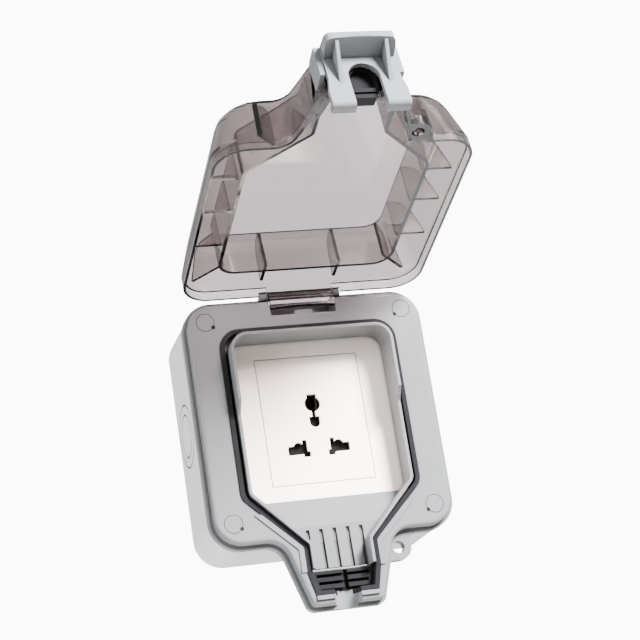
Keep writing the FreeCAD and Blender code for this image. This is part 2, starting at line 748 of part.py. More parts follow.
def seal_ring():
    """Ring of seal between the frame and the back box, broken by the hinge pocket."""
    front = BOX_DEPTH + SEAL_H
    ring = moved_prism(box_outline(), -SEAL_INSET, BOX_DEPTH, front)
    ring = ring.cut(moved_prism(box_outline(), -(SEAL_INSET + SEAL_W), 0, front + OVERCUT))
    gap = SLOT_HALF_W + SLOT_WALL
    return ring.cut(box(-gap, gap, 0, FAR, 0, FAR))


def cover_gasket():
    """Black gasket that fills the outer part of the channel."""
    front = DECK_FRONT + GASKET_PROUD
    ring = moved_prism(channel_outline(), 0, CHANNEL_FLOOR, front)
    ring = ring.cut(moved_prism(channel_outline(), -GASKET_W, 0, front + OVERCUT))
    return ring.cut(outlet_notch(OUTLET_R))


def cable_comb():
    """Rubber comb that closes round the cable, with rows of ribs and a slit."""
    comb = comb_chamber(COMB_GAP, COMB_BACK, COMB_FRONT)
    reach = THROAT_HALF_W - GASKET_W - COMB_SIDE_T
    for i in range(COMB_ROWS):
        z = -(COMB_TOP_DROP + COMB_TOP_T + i * COMB_ROW_PITCH)
        half = reach - i * COMB_TAPER
        comb = comb.cut(box(-half, half, COMB_FRONT - COMB_ROW_DEPTH, FAR, z - COMB_ROW_H, z))
    low = -(COMB_TOP_DROP + COMB_ROWS * COMB_ROW_PITCH - COMB_SLIT_STOP)
    deep = COMB_FRONT - COMB_ROW_DEPTH - COMB_SLIT_DEEPER
    slit = box(0, COMB_SLIT_W, deep, FAR, low, -COMB_TOP_DROP)
    return comb.cut(slit)


def back_box():
    """Deep box on the wall, with screw bosses, fixing holes and knockouts."""
    body = moved_prism(box_outline(), 0, 0, BOX_DEPTH)
    body = body.makeFillet(BACK_EDGE_R, front_rim(body, 0))
    body = body.cut(moved_prism(box_outline(), -WALL, WALL, BOX_DEPTH + OVERCUT))
    half = FRAME_HALF_W - BOX_INSET
    for x, z in cap_places():
        outer_z = FRAME_TOP - BOX_INSET if z > 0 else -(SHOULDER_DROP - BOX_INSET)
        xs = sorted((x, math.copysign(half - JOIN, x)))
        zs = sorted((z, outer_z - math.copysign(JOIN, z)))
        web = BOSS_WEB_T / 2
        web_x = box(xs[0], xs[1], WALL - JOIN, BOX_DEPTH, z - web, z + web)
        web_z = box(x - web, x + web, WALL - JOIN, BOX_DEPTH, zs[0], zs[1])
        body = body.multiFuse([peg(BOSS_R, x, z, WALL - JOIN, BOX_DEPTH), web_x, web_z])
        body = body.cut(peg(SCREW_R, x, z, screw_tip() - SCREW_TIP_ROOM, FAR))
    for x, z in corners(FIX_SPACING / 2, FIX_SPACING / 2):
        body = body.fuse(peg(FIX_PAD_R, x, z, WALL - JOIN, WALL + FIX_PAD_H))
        body = body.cut(peg(FIX_HOLE_R, x, z, -OVERCUT, WALL + FIX_PAD_H + OVERCUT))
    for ring in (KNOCKOUT_R, KNOCKOUT_INNER_R):
        for side in (-1, 1):
            body = body.cut(knockout(ring).translated(V(side * half, -KNOCKOUT_DEPTH, KNOCKOUT_Z)))
        turned = knockout(ring).rotated(V(0, 0, 0), Y_AXIS, 90)
        body = body.cut(turned.translated(V(0, -KNOCKOUT_DEPTH, -(SHOULDER_DROP - BOX_INSET))))
    notch = SLOT_HALF_W + SLOT_WALL + POCKET_GAP
    notch_back = DECK_FRONT - SLOT_DEPTH - SLOT_WALL - POCKET_GAP
    return body.cut(box(-notch, notch, notch_back, FAR, CHANNEL_TOP, FAR)).removeSplitter()


def knockout(radius):
    """Ring groove that marks a blank for a conduit entry."""
    groove = Part.makeCylinder(radius, 2 * KNOCKOUT_GROOVE_DEPTH,
                               V(-KNOCKOUT_GROOVE_DEPTH, 0, 0), X_AXIS)
    core = Part.makeCylinder(radius - KNOCKOUT_GROOVE_W, 2 * KNOCKOUT_GROOVE_DEPTH,
                             V(-KNOCKOUT_GROOVE_DEPTH, 0, 0), X_AXIS)
    return groove.cut(core)


def screw_tip():
    """Depth that the corner screws reach into the box."""
    return DECK_FRONT - CAP_T - SCREW_HEAD_H - SCREW_LENGTH


def corner_screws():
    """Four screws that hold the frame to the box."""
    solids = []
    top = DECK_FRONT - CAP_T - HEAD_GAP
    for x, z in cap_places():
        screw = peg(SCREW_R, x, z, screw_tip(), top)
        screw = screw.fuse(peg(SCREW_HEAD_R, x, z, screw_tip() + SCREW_LENGTH, top))
        slot = box(x - SCREW_HEAD_R, x + SCREW_HEAD_R, top - DRIVE_DEPTH, FAR, z - DRIVE_W / 2, z + DRIVE_W / 2)
        solids.append(screw.cut(slot))
    return Part.makeCompound(solids)


def screw_caps():
    """Flush round caps over the corner screws, each with a notch to lift it by."""
    solids = []
    for x, z in cap_places():
        cap = peg(CAP_R, x, z, DECK_FRONT - CAP_T, DECK_FRONT)
        notch_x = x - math.copysign(CAP_NOTCH_IN, x)
        cap = cap.cut(peg(CAP_NOTCH_R, notch_x, z - CAP_NOTCH_LOWER, DECK_FRONT - CAP_NOTCH_DEPTH, FAR))
        solids.append(cap)
    return Part.makeCompound(solids)


def lean(height, skirt, degrees, radius, inset):
    """How far a cover wall has moved in at a height above the rim."""
    angle = math.radians(degrees)
    top = COVER_H - inset
    r = radius - inset
    start = skirt - inset * math.tan(angle / 2)
    centre = (top - r - start) * math.tan(angle) + r / math.cos(angle)
    if height <= start:
        return 0.0
    if height <= top - r + r * math.sin(angle):
        return (height - start) * math.tan(angle)
    rise = min(1.0, (height - top + r) / r)
    return centre - r * math.cos(math.asin(rise))


def cover_section(height, inset):
    """Outline of the cover at a height above its rim."""
    side = inset + lean(height, SIDE_SKIRT, SIDE_LEAN, SIDE_R, inset)
    top = inset + lean(height, HINGE_SKIRT, HINGE_LEAN, HINGE_R, inset)
    shoulder = inset + lean(height, 0, SHOULDER_LEAN, EDGE_R, inset)
    flank = inset + lean(height, 0, FLANK_LEAN, EDGE_R, inset)
    nose = inset + lean(height, 0, NOSE_LEAN, EDGE_R, inset)
    points = nose_outline(side, top, shoulder, flank, nose, inset)
    return rounded(points, on_front(-(RIM + height)))


def cover_form(inset):
    """Solid form of the cover, with every face moved in by the wall thickness."""
    top = COVER_H - inset
    r = SIDE_R - inset
    lean_angle = math.radians(SIDE_LEAN)
    start = SIDE_SKIRT - inset * math.tan(lean_angle / 2)
    turns = [lean_angle] + [math.radians(a) for a in EDGE_TURNS]
    heights = [-inset / 2, start] + [top - r + r * math.sin(t) for t in turns]
    form = Part.makeLoft([cover_section(h, inset) for h in heights], True, True)
    notch_x = NOTCH_HALF_W - inset
    notch_top = -(NOSE_DROP - CHEEK_BACK - CHEEK_GAP - inset)
    low = RIM + CHEEK_LOW - NOTCH_DROP - inset
    for x0, x1 in ((-FAR, -notch_x), (notch_x, FAR)):
        form = form.cut(box(x0, x1, low, FAR, -FAR, notch_top))
    return form


def rib(x0, z0, x1, z1, lift):
    """Upright web of the cover between two places, from a lift above the rim to the panel."""
    length = math.hypot(x1 - x0, z1 - z0)
    plate = box(0, length, RIM + lift, RIM + COVER_H, -GUSSET_T / 2, GUSSET_T / 2)
    turn = math.degrees(math.atan2(z1 - z0, x1 - x0))
    return plate.rotated(V(0, 0, 0), Y_AXIS, -turn).translated(V(x0, 0, z0))


def cover_ribs():
    """Gussets from the inner ring to the shell, square at the sides and slanted at the corners."""
    ring_x = CHANNEL_HALF_W - RING_GAP - RING_T / 2
    ring_top = CHANNEL_TOP - RING_GAP - RING_T / 2
    lift = RING_EDGE - RIM + GUSSET_LIFT
    ribs = []
    for side in (-1, 1):
        for place in GUSSET_PLACES:
            z = FRAME_TOP - place
            ribs.append(rib(side * ring_x, z, side * FRAME_HALF_W, z, lift))
        arm = side * (SLOT_HALF_W + LUG_GAP + LUG_W / 2)
        ribs.append(rib(arm, ring_top, arm, FRAME_TOP, lift))
        corner = CHANNEL_CORNER_R * CORNER_SHARE
        ribs.append(rib(side * (ring_x - corner), ring_top - corner,
                        side * FRAME_HALF_W, ring_top - corner + FRAME_HALF_W - ring_x + corner, lift))
        bend_x = (CHANNEL_HALF_W + THROAT_HALF_W) / 2
        bend_z = -(CHANNEL_BEND_DROP + THROAT_TOP_DROP) / 2
        ribs.append(rib(side * bend_x, bend_z, side * (bend_x + CORNER_GUSSET_RUN),
                        bend_z - CORNER_GUSSET_RUN, lift))
    return ribs


def hinge_tab():
    """Barrel for the pin and the tab below it that turns inside the frame's slot."""
    half = SLOT_HALF_W - TAB_GAP
    barrel = cross_rod(BARREL_R, HINGE.y, HINGE.z, half)
    tip = -(RIM - TAB_REACH)
    arch = tip - TAB_ARCH
    root = -(RIM + JOIN)
    edges = [
        Part.LineSegment(V(-half, root, 0), V(-half, tip, 0)).toShape(),
        Part.Arc(V(-half, tip, 0), V(0, arch, 0), V(half, tip, 0)).toShape(),
        Part.LineSegment(V(half, tip, 0), V(half, root, 0)).toShape(),
        Part.LineSegment(V(half, root, 0), V(-half, root, 0)).toShape(),
    ]
    tab = Part.Face(Part.Wire(edges)).extrude(V(0, 0, COVER_WALL))
    return [barrel, tab.translated(V(0, 0, FRAME_TOP - COVER_WALL))]


def arch_prism(half_w, top, low, z0, z1):
    """Upright arch through the nose end, from a low edge to a round top above the rim."""
    edges = [
        Part.LineSegment(V(-half_w, -(RIM + low), z0), V(-half_w, -(RIM + top - half_w), z0)).toShape(),
        Part.Arc(V(-half_w, -(RIM + top - half_w), z0), V(0, -(RIM + top), z0),
                 V(half_w, -(RIM + top - half_w), z0)).toShape(),
        Part.LineSegment(V(half_w, -(RIM + top - half_w), z0), V(half_w, -(RIM + low), z0)).toShape(),
        Part.LineSegment(V(half_w, -(RIM + low), z0), V(-half_w, -(RIM + low), z0)).toShape(),
    ]
    return Part.Face(Part.Wire(edges)).extrude(V(0, 0, z1 - z0))


def cover():
    """Smoke-clear cover, drawn shut: thin shell, sealing ring, ribs, hinge tab and padlock lug."""
    outer = cover_form(0)
    shell = outer.cut(cover_form(COVER_WALL))
    inside = cover_form(GUSSET_SINK)
    ring = moved_prism(channel_outline(), -RING_GAP, RING_EDGE, RIM + COVER_H)
    ring = ring.cut(moved_prism(channel_outline(), -(RING_GAP + RING_T), 0, FAR))
    hollow = moved_prism(channel_outline(), -(RING_GAP + RING_T / 2), 0, FAR)
    webs = [web.common(inside).cut(hollow) for web in cover_ribs()]
    body = shell.multiFuse([ring.common(inside)] + webs + hinge_tab())
    lug = padlock_ear(RIM, RIM + PADLOCK_LUG_T, COVER_GAP)
    body = body.fuse(lug.cut(cover_form(COVER_WALL / 2)))
    deck_room = prism(frame_outline(LEDGE_W - COVER_GAP), RIM, DECK_FRONT + COVER_GAP)
    body = body.cut(deck_room.cut(box(-SLOT_HALF_W, SLOT_HALF_W, 0, FAR, FRAME_TOP - SLOT_BOTTOM_DROP, FAR)))
    body = body.cut(cross_rod(PIN_R + PIN_GAP, HINGE.y, HINGE.z, SLOT_HALF_W))
    start = SLOT_HALF_W - TAB_GAP / 2
    for x in (start, -(start + LUG_W + 2 * TAB_GAP)):
        notch = Part.makeCylinder(EAR_LUG_R + COVER_GAP, LUG_W + 2 * TAB_GAP,
                                  V(x, HINGE.y, HINGE.z), X_AXIS)
        body = body.cut(notch)
    body = body.cut(peg(EAR_HOLE_R, EAR_X, -EAR_DROP, RIM - OVERCUT, RIM + PADLOCK_LUG_T + OVERCUT))
    way = arch_prism(SEAL_ARCH_HALF_W, SEAL_ARCH_TOP, -OVERCUT,
                     -(NOSE_DROP + OVERCUT), -(NOSE_DROP - 2 * CHANNEL_END_T))
    body = body.cut(way)
    body = body.cut(cross_rod(LATCH_PIN_R, LATCH_PIVOT.y, LATCH_PIVOT.z, FRAME_HALF_W))
    return body.removeSplitter()


def cover_cable_seal():
    """Black collar in the arch of the cover's nose, pressed on the cable when shut."""
    outside = -(NOSE_DROP + SEAL_PROUD)
    wall = -(NOSE_DROP - COVER_WALL)
    inside = wall + SEAL_INWARD
    over = SEAL_LEDGE_H + SEAL_LEDGE_T
    plug = arch_prism(SEAL_ARCH_HALF_W, SEAL_ARCH_TOP, over, outside, inside)
    flange = arch_prism(SEAL_ARCH_HALF_W + SEAL_FLANGE, SEAL_ARCH_TOP + SEAL_FLANGE, over,
                        wall + SEAL_WALL_GAP, wall + SEAL_WALL_GAP + SEAL_FLANGE_T)
    foot_r = OUTLET_R - SEAL_FOOT_GAP
    foot_top = RIM + over + JOIN
    foot = Part.makeCylinder(foot_r, inside - outside, V(0, -DECK_FRONT, outside), Z_AXIS)
    foot = foot.fuse(box(-foot_r, foot_r, DECK_FRONT, foot_top, outside, inside))
    foot = foot.common(box(-foot_r, foot_r, DECK_FRONT - SEAL_FOOT_DROP, foot_top, -FAR, FAR))
    body = fused(plug, flange, foot)
    hollow = arch_prism(SEAL_ARCH_HALF_W - SEAL_RECESS, SEAL_ARCH_TOP - SEAL_RECESS, SEAL_LEDGE_H,
                        outside - OVERCUT, -(NOSE_DROP - SEAL_HOLLOW_DEPTH))
    body = body.cut(hollow)
    groove = box(-FAR, FAR, RIM + SEAL_GROOVE_FROM, RIM + SEAL_GROOVE_FROM + SEAL_GROOVE_W,
                 outside - OVERCUT, -(NOSE_DROP - SEAL_GROOVE_DEPTH))
    return body.cut(groove)


def latch():
    """Grey latch, drawn locked: plate, arch, hooks, finger tab, ribs and cheeks."""
    back = -(NOSE_DROP + LATCH_GAP)
    face = back - LATCH_T
    root = face + LATCH_T / 4
    hook_top = -(RIM - BOX_DEPTH) - HOOK_GAP
    end = hook_top - HOOK_H
    plate = Part.Face(rounded(mirrored([
        (LATCH_HALF_W, LATCH_TOP, LATCH_TOP_R),
        (LATCH_HALF_W, LATCH_WAIST, LATCH_WAIST_R),
        (LATCH_LEG_HALF_W, 0, LATCH_WAIST_R),
        (LATCH_LEG_HALF_W, end, LATCH_END_R),
    ]), on_level(face))).extrude(V(0, 0, LATCH_T))
    hooks = box(-LATCH_LEG_HALF_W, LATCH_LEG_HALF_W, RIM + end, RIM + hook_top,
                back - HOOK_ROOT, back + HOOK_BITE + LATCH_GAP)
    tab_end = face - LATCH_TAB_LENGTH
    tab_low = LATCH_TAB_AT + LATCH_TAB_LENGTH * LATCH_TAB_SLOPE
    tab = cross_prism([
        (-(RIM + LATCH_TAB_AT), root, 0),
        (-(RIM + tab_low), tab_end, LATCH_TAB_EDGE_R),
        (-(RIM + tab_low + LATCH_TAB_T), tab_end, LATCH_TAB_BACK_R),
        (-(RIM + LATCH_TOP), root, 0),
    ], LATCH_HALF_W - LATCH_TAB_NARROWER)
    half = LATCH_HALF_W - LATCH_TAB_NARROWER
    corner = tab_end + LATCH_TAB_CROWN
    tab = tab.common(prism([
        (half, back, 0),
        (half, corner, LATCH_TAB_CORNER_R),
        (0, tab_end, LATCH_TAB_CROWN_R),
        (-half, corner, LATCH_TAB_CORNER_R),
        (-half, back, 0),
    ], RIM, RIM + LATCH_TOP))
    ribs = []
    for x in (-LATCH_RIB_X, LATCH_RIB_X):
        web = cross_prism([
            (-(RIM + LATCH_RIB_FOOT), root, 0),
            (-(RIM + LATCH_TAB_AT + LATCH_RIB_TOP), tab_end + LATCH_RIB_SHORT, 0),
            (-(RIM + LATCH_TAB_AT + LATCH_TAB_T), root, 0),
        ], LATCH_RIB_T / 2)
        ribs.append(web.translated(V(x, 0, 0)))
    bridge_back = back - CHEEK_BRIDGE_T
    cheek_back = -(NOSE_DROP - CHEEK_BACK)
    cheeks = []
    for side in (-1, 1):
        cheek = cross_prism([
            (-(RIM + CHEEK_LOW), cheek_back, CHEEK_LOW_R),
            (-(RIM + CHEEK_LOW), bridge_back, 0),
            (-(RIM + LATCH_TOP), bridge_back, 0),
            (-(RIM + LATCH_TOP), cheek_back, CHEEK_TOP_R),
        ], CHEEK_T / 2).translated(V(side * (CHEEK_X + CHEEK_T / 2), 0, 0))
        xs = sorted((side * (LATCH_HALF_W - JOIN), side * (CHEEK_X + CHEEK_T)))
        cheeks += [cheek, box(xs[0], xs[1], RIM + CHEEK_LOW, RIM + LATCH_TOP, bridge_back, back)]
    body = fused(plate, hooks, tab, *ribs, *cheeks)
    heel = box(-FAR, FAR, RIM + end - OVERCUT, RIM + end + LATCH_FOOT_R, face - OVERCUT, face + LATCH_FOOT_R)
    body = body.cut(heel.cut(cross_rod(LATCH_FOOT_R, -(RIM + end + LATCH_FOOT_R), face + LATCH_FOOT_R, FAR)))
    arch_back = back + HOOK_BITE + LATCH_GAP + OVERCUT
    body = body.cut(arch_prism(LATCH_ARCH_HALF_W, LATCH_ARCH_TOP, end - OVERCUT, face - OVERCUT, arch_back))
    return body.cut(cross_rod(LATCH_PIN_R + PIN_GAP, LATCH_PIVOT.y, LATCH_PIVOT.z, FRAME_HALF_W))


def socket_plate():
    """White plate that fills the recess from behind, with four ears for its screws."""
    half = LIP_HALF_W - LIP_T + PLATE_LAP
    top = LIP_TOP - LIP_T + PLATE_LAP
    bottom = -(TROUGH_TOP_DROP - PLATE_GAP)
    back = SEAT_DEPTH - PLATE_T
    plate = prism(mirrored([(half, top, PLATE_R), (half, bottom, PLATE_LOW_R)]), back, SEAT_DEPTH)
    ears = []
    for x, z in corners(PLATE_SCREW_X, PLATE_SCREW_Z):
        xs = sorted((x, math.copysign(half - JOIN, x)))
        ears.append(peg(PLATE_EAR_R, x, z, back, SEAT_DEPTH))
        ears.append(box(xs[0], xs[1], back, SEAT_DEPTH, z - PLATE_EAR_R, z + PLATE_EAR_R))
    plate = fused(plate, *ears)
    for x, z in corners(PLATE_SCREW_X, PLATE_SCREW_Z):
        plate = plate.cut(peg(PLATE_SCREW_R + PLATE_SCREW_GAP, x, z, 0, FAR))
    opening = box(-MODULE_HALF_W, MODULE_HALF_W, 0, FAR, -MODULE_HALF_H, MODULE_HALF_H)
    return plate.cut(opening)


def plate_screws():
    """Four screws that hold the socket plate to the frame from behind."""
    under = SEAT_DEPTH - PLATE_T
    solids = []
    for x, z in corners(PLATE_SCREW_X, PLATE_SCREW_Z):
        screw = peg(PLATE_SCREW_R, x, z, under - JOIN, SEAT_DEPTH + PLATE_SCREW_GRIP)
        screw = screw.fuse(peg(PLATE_SCREW_HEAD_R, x, z, under - PLATE_SCREW_HEAD_H, under))
        slot = box(x - PLATE_SCREW_HEAD_R, x + PLATE_SCREW_HEAD_R, 0,
                   under - PLATE_SCREW_HEAD_H + DRIVE_DEPTH, z - DRIVE_W / 2, z + DRIVE_W / 2)
        solids.append(screw.cut(slot))
    return Part.makeCompound(solids)


def apertures():
    """Holes for round, flat and square pins: two for the lines, one for earth."""
    front = SEAT_DEPTH + OVERCUT
    back = INNER_FACE - OVERCUT
    cuts = []
    for side in (-1, 1):
        def across(inner, outer, low, high):
            xs = sorted((side * inner, side * outer))
            return box(xs[0], xs[1], back, front, low, high)
        cuts.append(across(LINE_IN, LINE_OUT, -LINE_BOTTOM_DROP, -LINE_TOP_DROP))
        cuts.append(peg(LINE_BULGE_R, side * LINE_BULGE_X, -(LINE_TOP_DROP + LINE_BULGE_LOWER), back, front))
        cuts.append(across(BLADE_IN, LINE_IN + BLADE_OVERLAP, -LINE_BOTTOM_DROP, -BLADE_TOP_DROP))
        cuts.append(across(BLADE_FOOT_IN, LINE_IN, -BLADE_BOTTOM_DROP, -BLADE_FOOT_TOP_DROP))
    cuts.append(peg(EARTH_R, 0, EARTH_Z, back, front))
    cuts.append(box(-EARTH_KEY_HALF_W, EARTH_KEY_HALF_W, back, front, EARTH_Z, EARTH_KEY_TOP))
    cuts.append(box(-EARTH_NECK_HALF_W, EARTH_NECK_HALF_W, back, front, 0, EARTH_Z))
    low = -EARTH_SLOT_BOTTOM_DROP + EARTH_SLOT_HALF_W
    cuts.append(box(-EARTH_SLOT_HALF_W, EARTH_SLOT_HALF_W, back, front, low, EARTH_SLOT_TOP))
    cuts.append(peg(EARTH_SLOT_HALF_W, 0, low, back, front))
    return fused(cuts[0], *cuts[1:])


def socket_module():
    """White insert with the pin apertures, shutter rails and the spring's peg."""
    body = box(-MODULE_W, MODULE_W, MODULE_BACK, SEAT_DEPTH, -MODULE_H, MODULE_H)
    face = front_rim(body, SEAT_DEPTH)
    body = body.makeChamfer(EDGE_RELIEF, face)
    lap = SEAT_DEPTH - PLATE_T
    w = MODULE_W + MODULE_LAP
    h = MODULE_H + MODULE_LAP
    body = body.fuse(box(-w, w, lap - MODULE_LAP_T, lap, -h, h))
    body = body.cut(box(-CAVITY_W, CAVITY_W, 0, INNER_FACE, -CAVITY_H, CAVITY_H))
    body = body.cut(apertures())
    rail = SHUTTER_HALF_W + SHUTTER_GAP
    low = -(SHUTTER_BOTTOM_DROP + SHUTTER_TRAVEL)
    for x0, x1 in ((-rail - SHUTTER_RAIL_T, -rail), (rail, rail + SHUTTER_RAIL_T)):
        body = body.fuse(box(x0, x1, SHUTTER_BACK, INNER_FACE, low, -SHUTTER_TOP_DROP))
    peg_low = -(SPRING_PEG_DROP + SPRING_PEG_H)
    half = SHUTTER_SLOT_HALF_W - SPRING_PEG_NARROWER
    body = body.fuse(box(-half, half, INNER_FACE - 2 * SPRING_ROOM, INNER_FACE, peg_low, -SPRING_PEG_DROP))
    for x, z in TERMINALS:
        start = CAVITY_H - OVERCUT if z > 0 else OVERCUT - CAVITY_H - TERMINAL_ENTRY_RUN
        entry = Part.makeCylinder(TERMINAL_WIRE_R + TERMINAL_ENTRY_GAP, TERMINAL_ENTRY_RUN,
                                  V(x, -TERMINAL_BORE, start), Z_AXIS)
        body = body.cut(entry)
    return body.removeSplitter()


def shutter():
    """Sliding shutter that covers the line apertures; the earth pin pushes it down."""
    plate = box(-SHUTTER_HALF_W, SHUTTER_HALF_W, SHUTTER_BACK, SHUTTER_FRONT,
                -SHUTTER_BOTTOM_DROP, -SHUTTER_TOP_DROP)
    bridge = box(-SHUTTER_BRIDGE_HALF_W, SHUTTER_BRIDGE_HALF_W, SHUTTER_BACK, SHUTTER_FRONT,
                 -SHUTTER_TOP_DROP - JOIN, SHUTTER_BRIDGE_TOP)
    body = fused(plate, bridge)
    slot = box(-SHUTTER_SLOT_HALF_W, SHUTTER_SLOT_HALF_W, 0, FAR, -FAR, -SHUTTER_SLOT_TOP_DROP)
    ramp = cross_prism([
        (-(SHUTTER_FRONT + RAMP_OVER), SHUTTER_BRIDGE_TOP - SHUTTER_T, 0),
        (-(SHUTTER_FRONT + RAMP_OVER), SHUTTER_BRIDGE_TOP + RAMP_OVER, 0),
        (-(SHUTTER_BACK + RAMP_FOOT), SHUTTER_BRIDGE_TOP + RAMP_OVER, 0),
    ], SHUTTER_HALF_W)
    return body.cut(slot).cut(ramp)


def shutter_spring():
    """Coil spring between the shutter and the peg on the insert."""
    low = -SPRING_PEG_DROP + SPRING_WIRE_R
    height = SPRING_PEG_DROP - SHUTTER_SLOT_TOP_DROP - 2 * SPRING_WIRE_R
    helix = Part.makeHelix(height / SPRING_TURNS, height, SPRING_R)
    helix.translate(V(0, -SPRING_DEPTH, low))
    wire = Part.Wire(Part.Circle(V(SPRING_R, -SPRING_DEPTH, low), Y_AXIS, SPRING_WIRE_R).toShape())
    return Part.Wire(helix.Edges).makePipeShell([wire], True, True)


def terminal(x, z):
    """Brass block that clamps a wire."""
    return box(x - TERMINAL_HALF, x + TERMINAL_HALF, TERMINAL_SEAT, TERMINAL_SEAT + TERMINAL_SIZE,
               z - TERMINAL_HALF, z + TERMINAL_HALF)


def terminal_bore(x, z):
    """Wire way and screw hole through a terminal."""
    bore = Part.makeCylinder(TERMINAL_WIRE_R, TERMINAL_SIZE, V(x, -TERMINAL_BORE, z - TERMINAL_SIZE / 2), Z_AXIS)
    return bore.fuse(peg(TERMINAL_SCREW_R, x, z, 0, TERMINAL_BORE))


def line_contact(side):
    """Sprung brass contact for one line pin, with its terminal."""
    x0, x1 = sorted((side * (PIN_X - CONTACT_HALF_W), side * (PIN_X + CONTACT_HALF_W)))
    front = CARRIER_FRONT - CONTACT_FRONT_GAP
    inner = LINE_LEAF_GAP / 2
    outer = inner + LEAF_T
    pieces = [
        box(x0, x1, CONTACT_BACK, front, LINE_Z + inner, LINE_Z + outer),
        box(x0, x1, CONTACT_BACK, front, LINE_Z - outer, LINE_Z - inner),
        box(x0, x1, CONTACT_BACK, CONTACT_BACK + LEAF_T, LINE_Z - outer, LINE_Z + outer),
    ]
    block_top = TERMINAL_HALF - LINE_TERMINAL_DROP
    pieces.append(box(x0 + STRIP_INSET, x1 - STRIP_OUTSET, CONTACT_BACK, CONTACT_BACK + LEAF_T,
                      block_top - JOIN, LINE_Z - inner))
    body = fused(terminal(side * LINE_TERMINAL_X, -LINE_TERMINAL_DROP), *pieces)
    return body.cut(terminal_bore(side * LINE_TERMINAL_X, -LINE_TERMINAL_DROP))


def earth_contact():
    """Sprung brass contact for the earth pin, with its terminal."""
    half_h = EARTH_KEY_TOP - EARTH_Z - EARTH_LEAF_TRIM
    inner = EARTH_LEAF_GAP / 2
    outer = inner + LEAF_T
    front = INNER_FACE - CONTACT_FRONT_GAP
    pieces = []
    for x0, x1 in ((-outer, -inner), (inner, outer)):
        pieces.append(box(x0, x1, CONTACT_BACK, front, EARTH_Z - half_h, EARTH_Z + half_h))
    block_low = EARTH_TERMINAL_Z - TERMINAL_HALF
    pieces.append(box(-outer, outer, CONTACT_BACK, CONTACT_BACK + LEAF_T, EARTH_Z - half_h, block_low + JOIN))
    body = fused(terminal(0, EARTH_TERMINAL_Z), *pieces)
    return body.cut(terminal_bore(0, EARTH_TERMINAL_Z))


def terminal_screw(x, z):
    """Terminal screw with its head at the back of the insert."""
    back = TERMINAL_SEAT - TERMINAL_HEAD_H
    screw = peg(TERMINAL_SCREW_R, x, z, back + DRIVE_DEPTH, TERMINAL_BORE - TERMINAL_WIRE_R)
    screw = screw.fuse(peg(TERMINAL_HEAD_R, x, z, back, TERMINAL_SEAT))
    slot = box(x - TERMINAL_HEAD_R, x + TERMINAL_HEAD_R, 0, back + DRIVE_DEPTH,
               z - DRIVE_W / 2, z + DRIVE_W / 2)
    return screw.cut(slot)


def contact_carrier():
    """White block inside the insert that holds the contacts and backs the shutter."""
    w = CAVITY_W - CARRIER_GAP
    h = CAVITY_H - CARRIER_GAP
    body = box(-w, w, MODULE_BACK, CARRIER_FRONT, -h, h)
    recess = SHUTTER_SLOT_HALF_W
    body = body.cut(box(-recess, recess, INNER_FACE - 2 * SPRING_ROOM - SPRING_POCKET_DEEPER, FAR,
                        -(SPRING_PEG_DROP + SPRING_PEG_H + SPRING_POCKET_GAP),
                        SPRING_POCKET_GAP - SHUTTER_SLOT_TOP_DROP))
    gap = CARRIER_GAP
    leaf = LINE_LEAF_GAP / 2 + LEAF_T + gap
    half = TERMINAL_HALF + gap
    deep = TERMINAL_SEAT + TERMINAL_SIZE + gap
    for side in (-1, 1):
        x0, x1 = sorted((side * (PIN_X - CONTACT_HALF_W - gap), side * (PIN_X + CONTACT_HALF_W + gap)))
        body = body.cut(box(x0, x1, CONTACT_BACK - gap, FAR, LINE_Z - leaf, LINE_Z + leaf))
        body = body.cut(box(x0, x1, 0, CONTACT_BACK + LEAF_T + gap,
                            -LINE_TERMINAL_DROP, LINE_Z + leaf))
        x = side * LINE_TERMINAL_X
        body = body.cut(box(x - half, x + half, 0, deep, -FAR, -LINE_TERMINAL_DROP + half))
    key = EARTH_KEY_TOP - EARTH_Z - EARTH_LEAF_TRIM + gap
    wide = EARTH_LEAF_GAP / 2 + LEAF_T + gap
    body = body.cut(box(-wide, wide, CONTACT_BACK - gap, FAR, EARTH_Z - key, EARTH_Z + key))
    body = body.cut(box(-wide, wide, 0, CONTACT_BACK + LEAF_T + gap,
                        EARTH_Z - key, EARTH_TERMINAL_Z))
    body = body.cut(box(-half, half, 0, deep, EARTH_TERMINAL_Z - half, FAR))
    for x in (-COVER_SCREW_X, COVER_SCREW_X):
        body = body.cut(peg(COVER_SCREW_R, x, 0, 0, MODULE_BACK + COVER_SCREW_GRIP))
    return body


def rear_cover():
    """Lid on the back of the insert, with ways to the terminal screws."""
    lid = box(-MODULE_W, MODULE_W, MODULE_BACK - REAR_COVER_T, MODULE_BACK, -MODULE_H, MODULE_H)
    for x, z in TERMINALS:
        lid = lid.cut(peg(TERMINAL_HEAD_R + TERMINAL_ENTRY_GAP, x, z, 0, FAR))
    for x in (-COVER_SCREW_X, COVER_SCREW_X):
        lid = lid.cut(peg(COVER_SCREW_R + COVER_SCREW_GAP, x, 0, 0, FAR))
    return lid


def rear_cover_screws():
    """Two screws that hold the lid to the carrier."""
    solids = []
    seat = MODULE_BACK - REAR_COVER_T
    for x in (-COVER_SCREW_X, COVER_SCREW_X):
        back = seat - COVER_SCREW_HEAD_H
        screw = peg(COVER_SCREW_R, x, 0, back + DRIVE_DEPTH, MODULE_BACK + COVER_SCREW_GRIP)
        screw = screw.fuse(peg(COVER_SCREW_HEAD_R, x, 0, back, seat))
        slot = box(x - COVER_SCREW_HEAD_R, x + COVER_SCREW_HEAD_R, 0, back + DRIVE_DEPTH, -DRIVE_W / 2, DRIVE_W / 2)
        solids.append(screw.cut(slot))
    return Part.makeCompound(solids)


def opened(shape):
    """A piece of the cover turned from shut to the open rest pose."""
    return shape.rotated(HINGE, X_AXIS, -OPEN_ANGLE)


